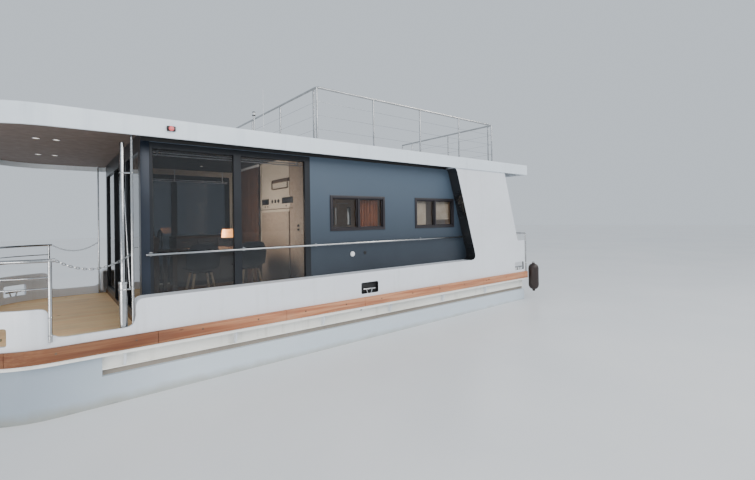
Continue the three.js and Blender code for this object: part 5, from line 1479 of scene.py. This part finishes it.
def shellChair(name, station):
    chair = {
        "y": 1.27, "seat": -0.37, "floor": 1.1103, "half": 0.215, "depth": 0.205, "back": 0.37, "flat": 0.30,
        "bend": 0.085, "foot": (0.195, 0.185), "head": (0.10, 0.095), "rungs": (0.152, 0.145, 0.30),
        "base": (0.12, 0.115, 0.008), "leg": (0.010, 0.016),
    }
    x, y, z = at(station), chair["y"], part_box(name)[1][2] + chair["seat"]
    u, v = crossed(-1, 41, 61)
    # v runs from the seat's front edge to the top of the back; t is the angle of the bend between them
    flat, radius = chair["flat"], chair["bend"]
    curve = radius * math.pi / 2
    s = v * (flat + curve + chair["back"] - radius - 0.01)
    t = np.clip((s - flat) / radius, 0, math.pi / 2)
    over = np.clip(s - flat - curve, 0, None)
    cup = 0.045 * np.abs(u) ** 2.4 * (0.55 + 0.45 * np.sin(math.pi * v))
    depth = -chair["depth"] + np.clip(s, 0, flat) + radius * np.sin(t) + 0.10 * over - cup * np.sin(t) * 1.6
    height = 0.012 + radius * (1 - np.cos(t)) + over + cup * np.cos(t) * 1.1
    height = height - 0.03 * np.abs(u) ** 4 * np.clip((v - 0.8) / 0.2, 0, 1)
    top, front = np.clip((v - 0.75) / 0.25, 0, 1), np.clip((0.12 - v) / 0.12, 0, 1)
    width = chair["half"] * (0.93 - 0.05 * np.cos(math.pi * v) - 0.264 * top ** 2 - 0.10 * front ** 2)
    makePiece(f"{name}_shell", openSheet(x + u * width, y + depth, z + height), greyShell, (name,), smooth=70,
              solidify=0.012)
    corners = [np.array([a, b]) for a in (-1, 1) for b in (-1, 1)]
    legs, feet = [], []
    for corner in corners:
        foot = np.array([*((x, y) + corner * chair["foot"]), chair["floor"]])
        head = np.array([*((x, y) + corner * chair["head"]), z - 0.004])
        t = np.linspace(0, 1, 12)
        legs.append(tube(foot + (head - foot) * t[:, None], np.interp(t, (0, 1), chair["leg"]), 14))
        feet.append(disc(foot, up, 0.0125, 0.008))
    makePiece(f"{name}_legs", legs, paleWood)
    along, across, drop = chair["rungs"]
    ends = [(*((x, y) + corner * (along, across)), z - drop) for corner in corners]
    rungs = [bar(ends[a], ends[b], 0.006, 10) for a, b in ((0, 2), (1, 3), (0, 1), (2, 3))]
    makePiece(f"{name}_underframe", [*rungs, block((x, y, z - 0.004), chair["base"], 0.004), *feet],
              blackPlastic)


def addTable():
    table = {"thick": 0.030, "inset": 0.078, "leg": 0.027, "floor": 1.1103, "rail": (0.09, 0.011, 0.10)}
    lamp = {"place": (at(2.20), 0.50), "half": 0.115, "shade": (0.150, 0.278)}
    low, high = (np.array(corner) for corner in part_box("dining_table"))
    top, inset, leg = high[2], table["inset"], table["leg"]
    under = top - table["thick"] + 0.001
    board = [roundedBox((low[0], low[1], top - table["thick"]), high, 0.006)]
    for x in (low[0] + inset, high[0] - inset):
        for y in (low[1] + inset, high[1] - inset):
            board.append(roundedBox((x - leg, y - leg, table["floor"]), (x + leg, y + leg, under), 0.005))
    margin, half, drop = table["rail"]
    for y in (low[1] + inset, high[1] - inset):
        board.append(roundedBox((low[0] + margin, y - half, top - drop), (high[0] - margin, y + half, under),
                                0.003))
    makePiece("table_boards", board, woodDark, ("dining_table",))
    x, y = lamp["place"]
    foot = [(0, 0), (0.05, 0), (0.05, 0.008), (0.012, 0.016), (0.008, 0.05), (0.008, 0.20), (0, 0.20)]
    makePiece("lamp_foot", revolved(foot, (x, y, top + hairline)), blackPlastic)
    r, (z0, z1) = lamp["half"], (top + h for h in lamp["shade"])
    shade = [(0, z0 + 0.004), (r - 0.004, z0), (r, z0 + 0.002), (r * 0.86, z1 - 0.002), (r * 0.84, z1),
             (0, z1 - 0.004)]
    makePiece("lamp_shade", revolved(shade, (x, y, 0), sides=40), lampGlow)


def addHelm():
    desk = {"aft": 1.48, "slope": 1.33, "top": 2.12, "edge": 2.01, "down": 0.09}
    dials = ((-1.45, 0.032), (-1.30, 0.042), (-1.16, 0.042), (-1.02, 0.032))
    helm = {
        "place": (at(1.56), -1.23, 1.96), "radius": 0.185, "rim": 0.013, "hubX": 0.06,
        "spoke": (0.010, 0.007),
        "hub": ((0, 0.07), (0.012, 0.07), (0.012, 0.004), (0.036, 0), (0.036, -0.055), (0.024, -0.07),
                (0, -0.072)),
    }
    lever = {"foot": (at(1.40), -0.98, 2.075), "head": (at(1.36), -0.98, 2.23)}
    dressedNode("helm_console", [woodDark], bevel=0.006)
    x, y, z = helm["place"]
    r, t = helm["radius"], np.linspace(0, 1, 10)
    shapes = [loop((x, y, z), (0, r, 0), (0, 0, r), helm["rim"], (48, 12)),
              revolved(helm["hub"], (x + helm["hubX"], y, z), (1, 0, 0), 28)]
    for a in turns(3) + math.pi / 2:
        root, tip = np.array([x + 0.012, y, z]), np.array([x, y + math.cos(a) * r, z + math.sin(a) * r])
        shapes.append(tube(root + (tip - root) * t[:, None], np.interp(t, (0, 1), helm["spoke"]), 10))
    makePiece("wheel_rim", shapes, blackPlastic, ("helm_wheel",), "helm_wheel")
    slope = unit((desk["slope"] - desk["aft"], 0, desk["edge"] - desk["top"]))
    start = np.array([at(desk["slope"]), 0, desk["top"]]) + slope * desk["down"]
    faces = [disc(start + (0, dy, 0), (-0.59, 0, 0.80), radius, 0.008) for dy, radius in dials]
    makePiece("helm_dials", faces, blackPlastic)
    foot, head = lever["foot"], lever["head"]
    throttle = [bar(foot, head, 0.009, 12), disc((*head[:2], head[2] - 0.005), up, 0.02, 0.03, 0.4),
                roundedBox((at(1.43), -1.02, 2.045), (at(1.34), -0.94, 2.118), 0.01)]
    makePiece("throttle_lever", throttle, blackPlastic)


def addGalley():
    galley = {"doors": 3, "gap": 0.002, "plinth": 0.09, "top": 0.03, "door": 0.0187,
              "pull": (0.09, 0.012, 0.10)}
    low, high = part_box("galley_unit")
    x0, x1, y0, y1 = low[0] + 0.005, high[0] - 0.010, low[1] + 0.005, high[1] - 0.020
    foot, under = low[2] + galley["plinth"], high[2] - galley["top"]
    makePiece("galley_carcass", roundedBox((x0, y0, foot), (x1, y1 - 0.019, under), 0.002), woodDark,
              ("galley_unit",))
    makePiece("galley_plinth", roundedBox((x0, y0, low[2]), (x1, y1 - 0.06, foot), 0.002), blackPlastic)
    fronts, pulls, gap = [], [], galley["gap"]
    margin, out, drop = galley["pull"]
    z, y = high[2] - drop, y1 + out
    edges = np.linspace(x0, x1, galley["doors"] + 1)
    for a, b in zip(edges[:-1], edges[1:]):
        fronts.append(roundedBox((a + gap, y1 - galley["door"], foot), (b - gap, y1, under - 0.004), 0.003))
        pulls.append(bar((a + margin, y, z), (b - margin, y, z), 0.005, 10))
        pulls += [bar((x, y1 - 0.001, z), (x, y, z), 0.004, 8) for x in (a + 0.1, b - 0.1)]
    makePiece("galley_fronts", fronts, greyShell)
    makePiece("galley_pulls", pulls, stainless)
    makePiece("galley_top", roundedBox((low[0], low[1], under + hairline), high, 0.005), woodDark)


addPartitionFront()
addCurtains()
addCabinPanels()
shellChair("chair_fore", 1.56)
shellChair("chair_aft", 2.20)
addTable()
addHelm()
addGalley()
print("saloon made")
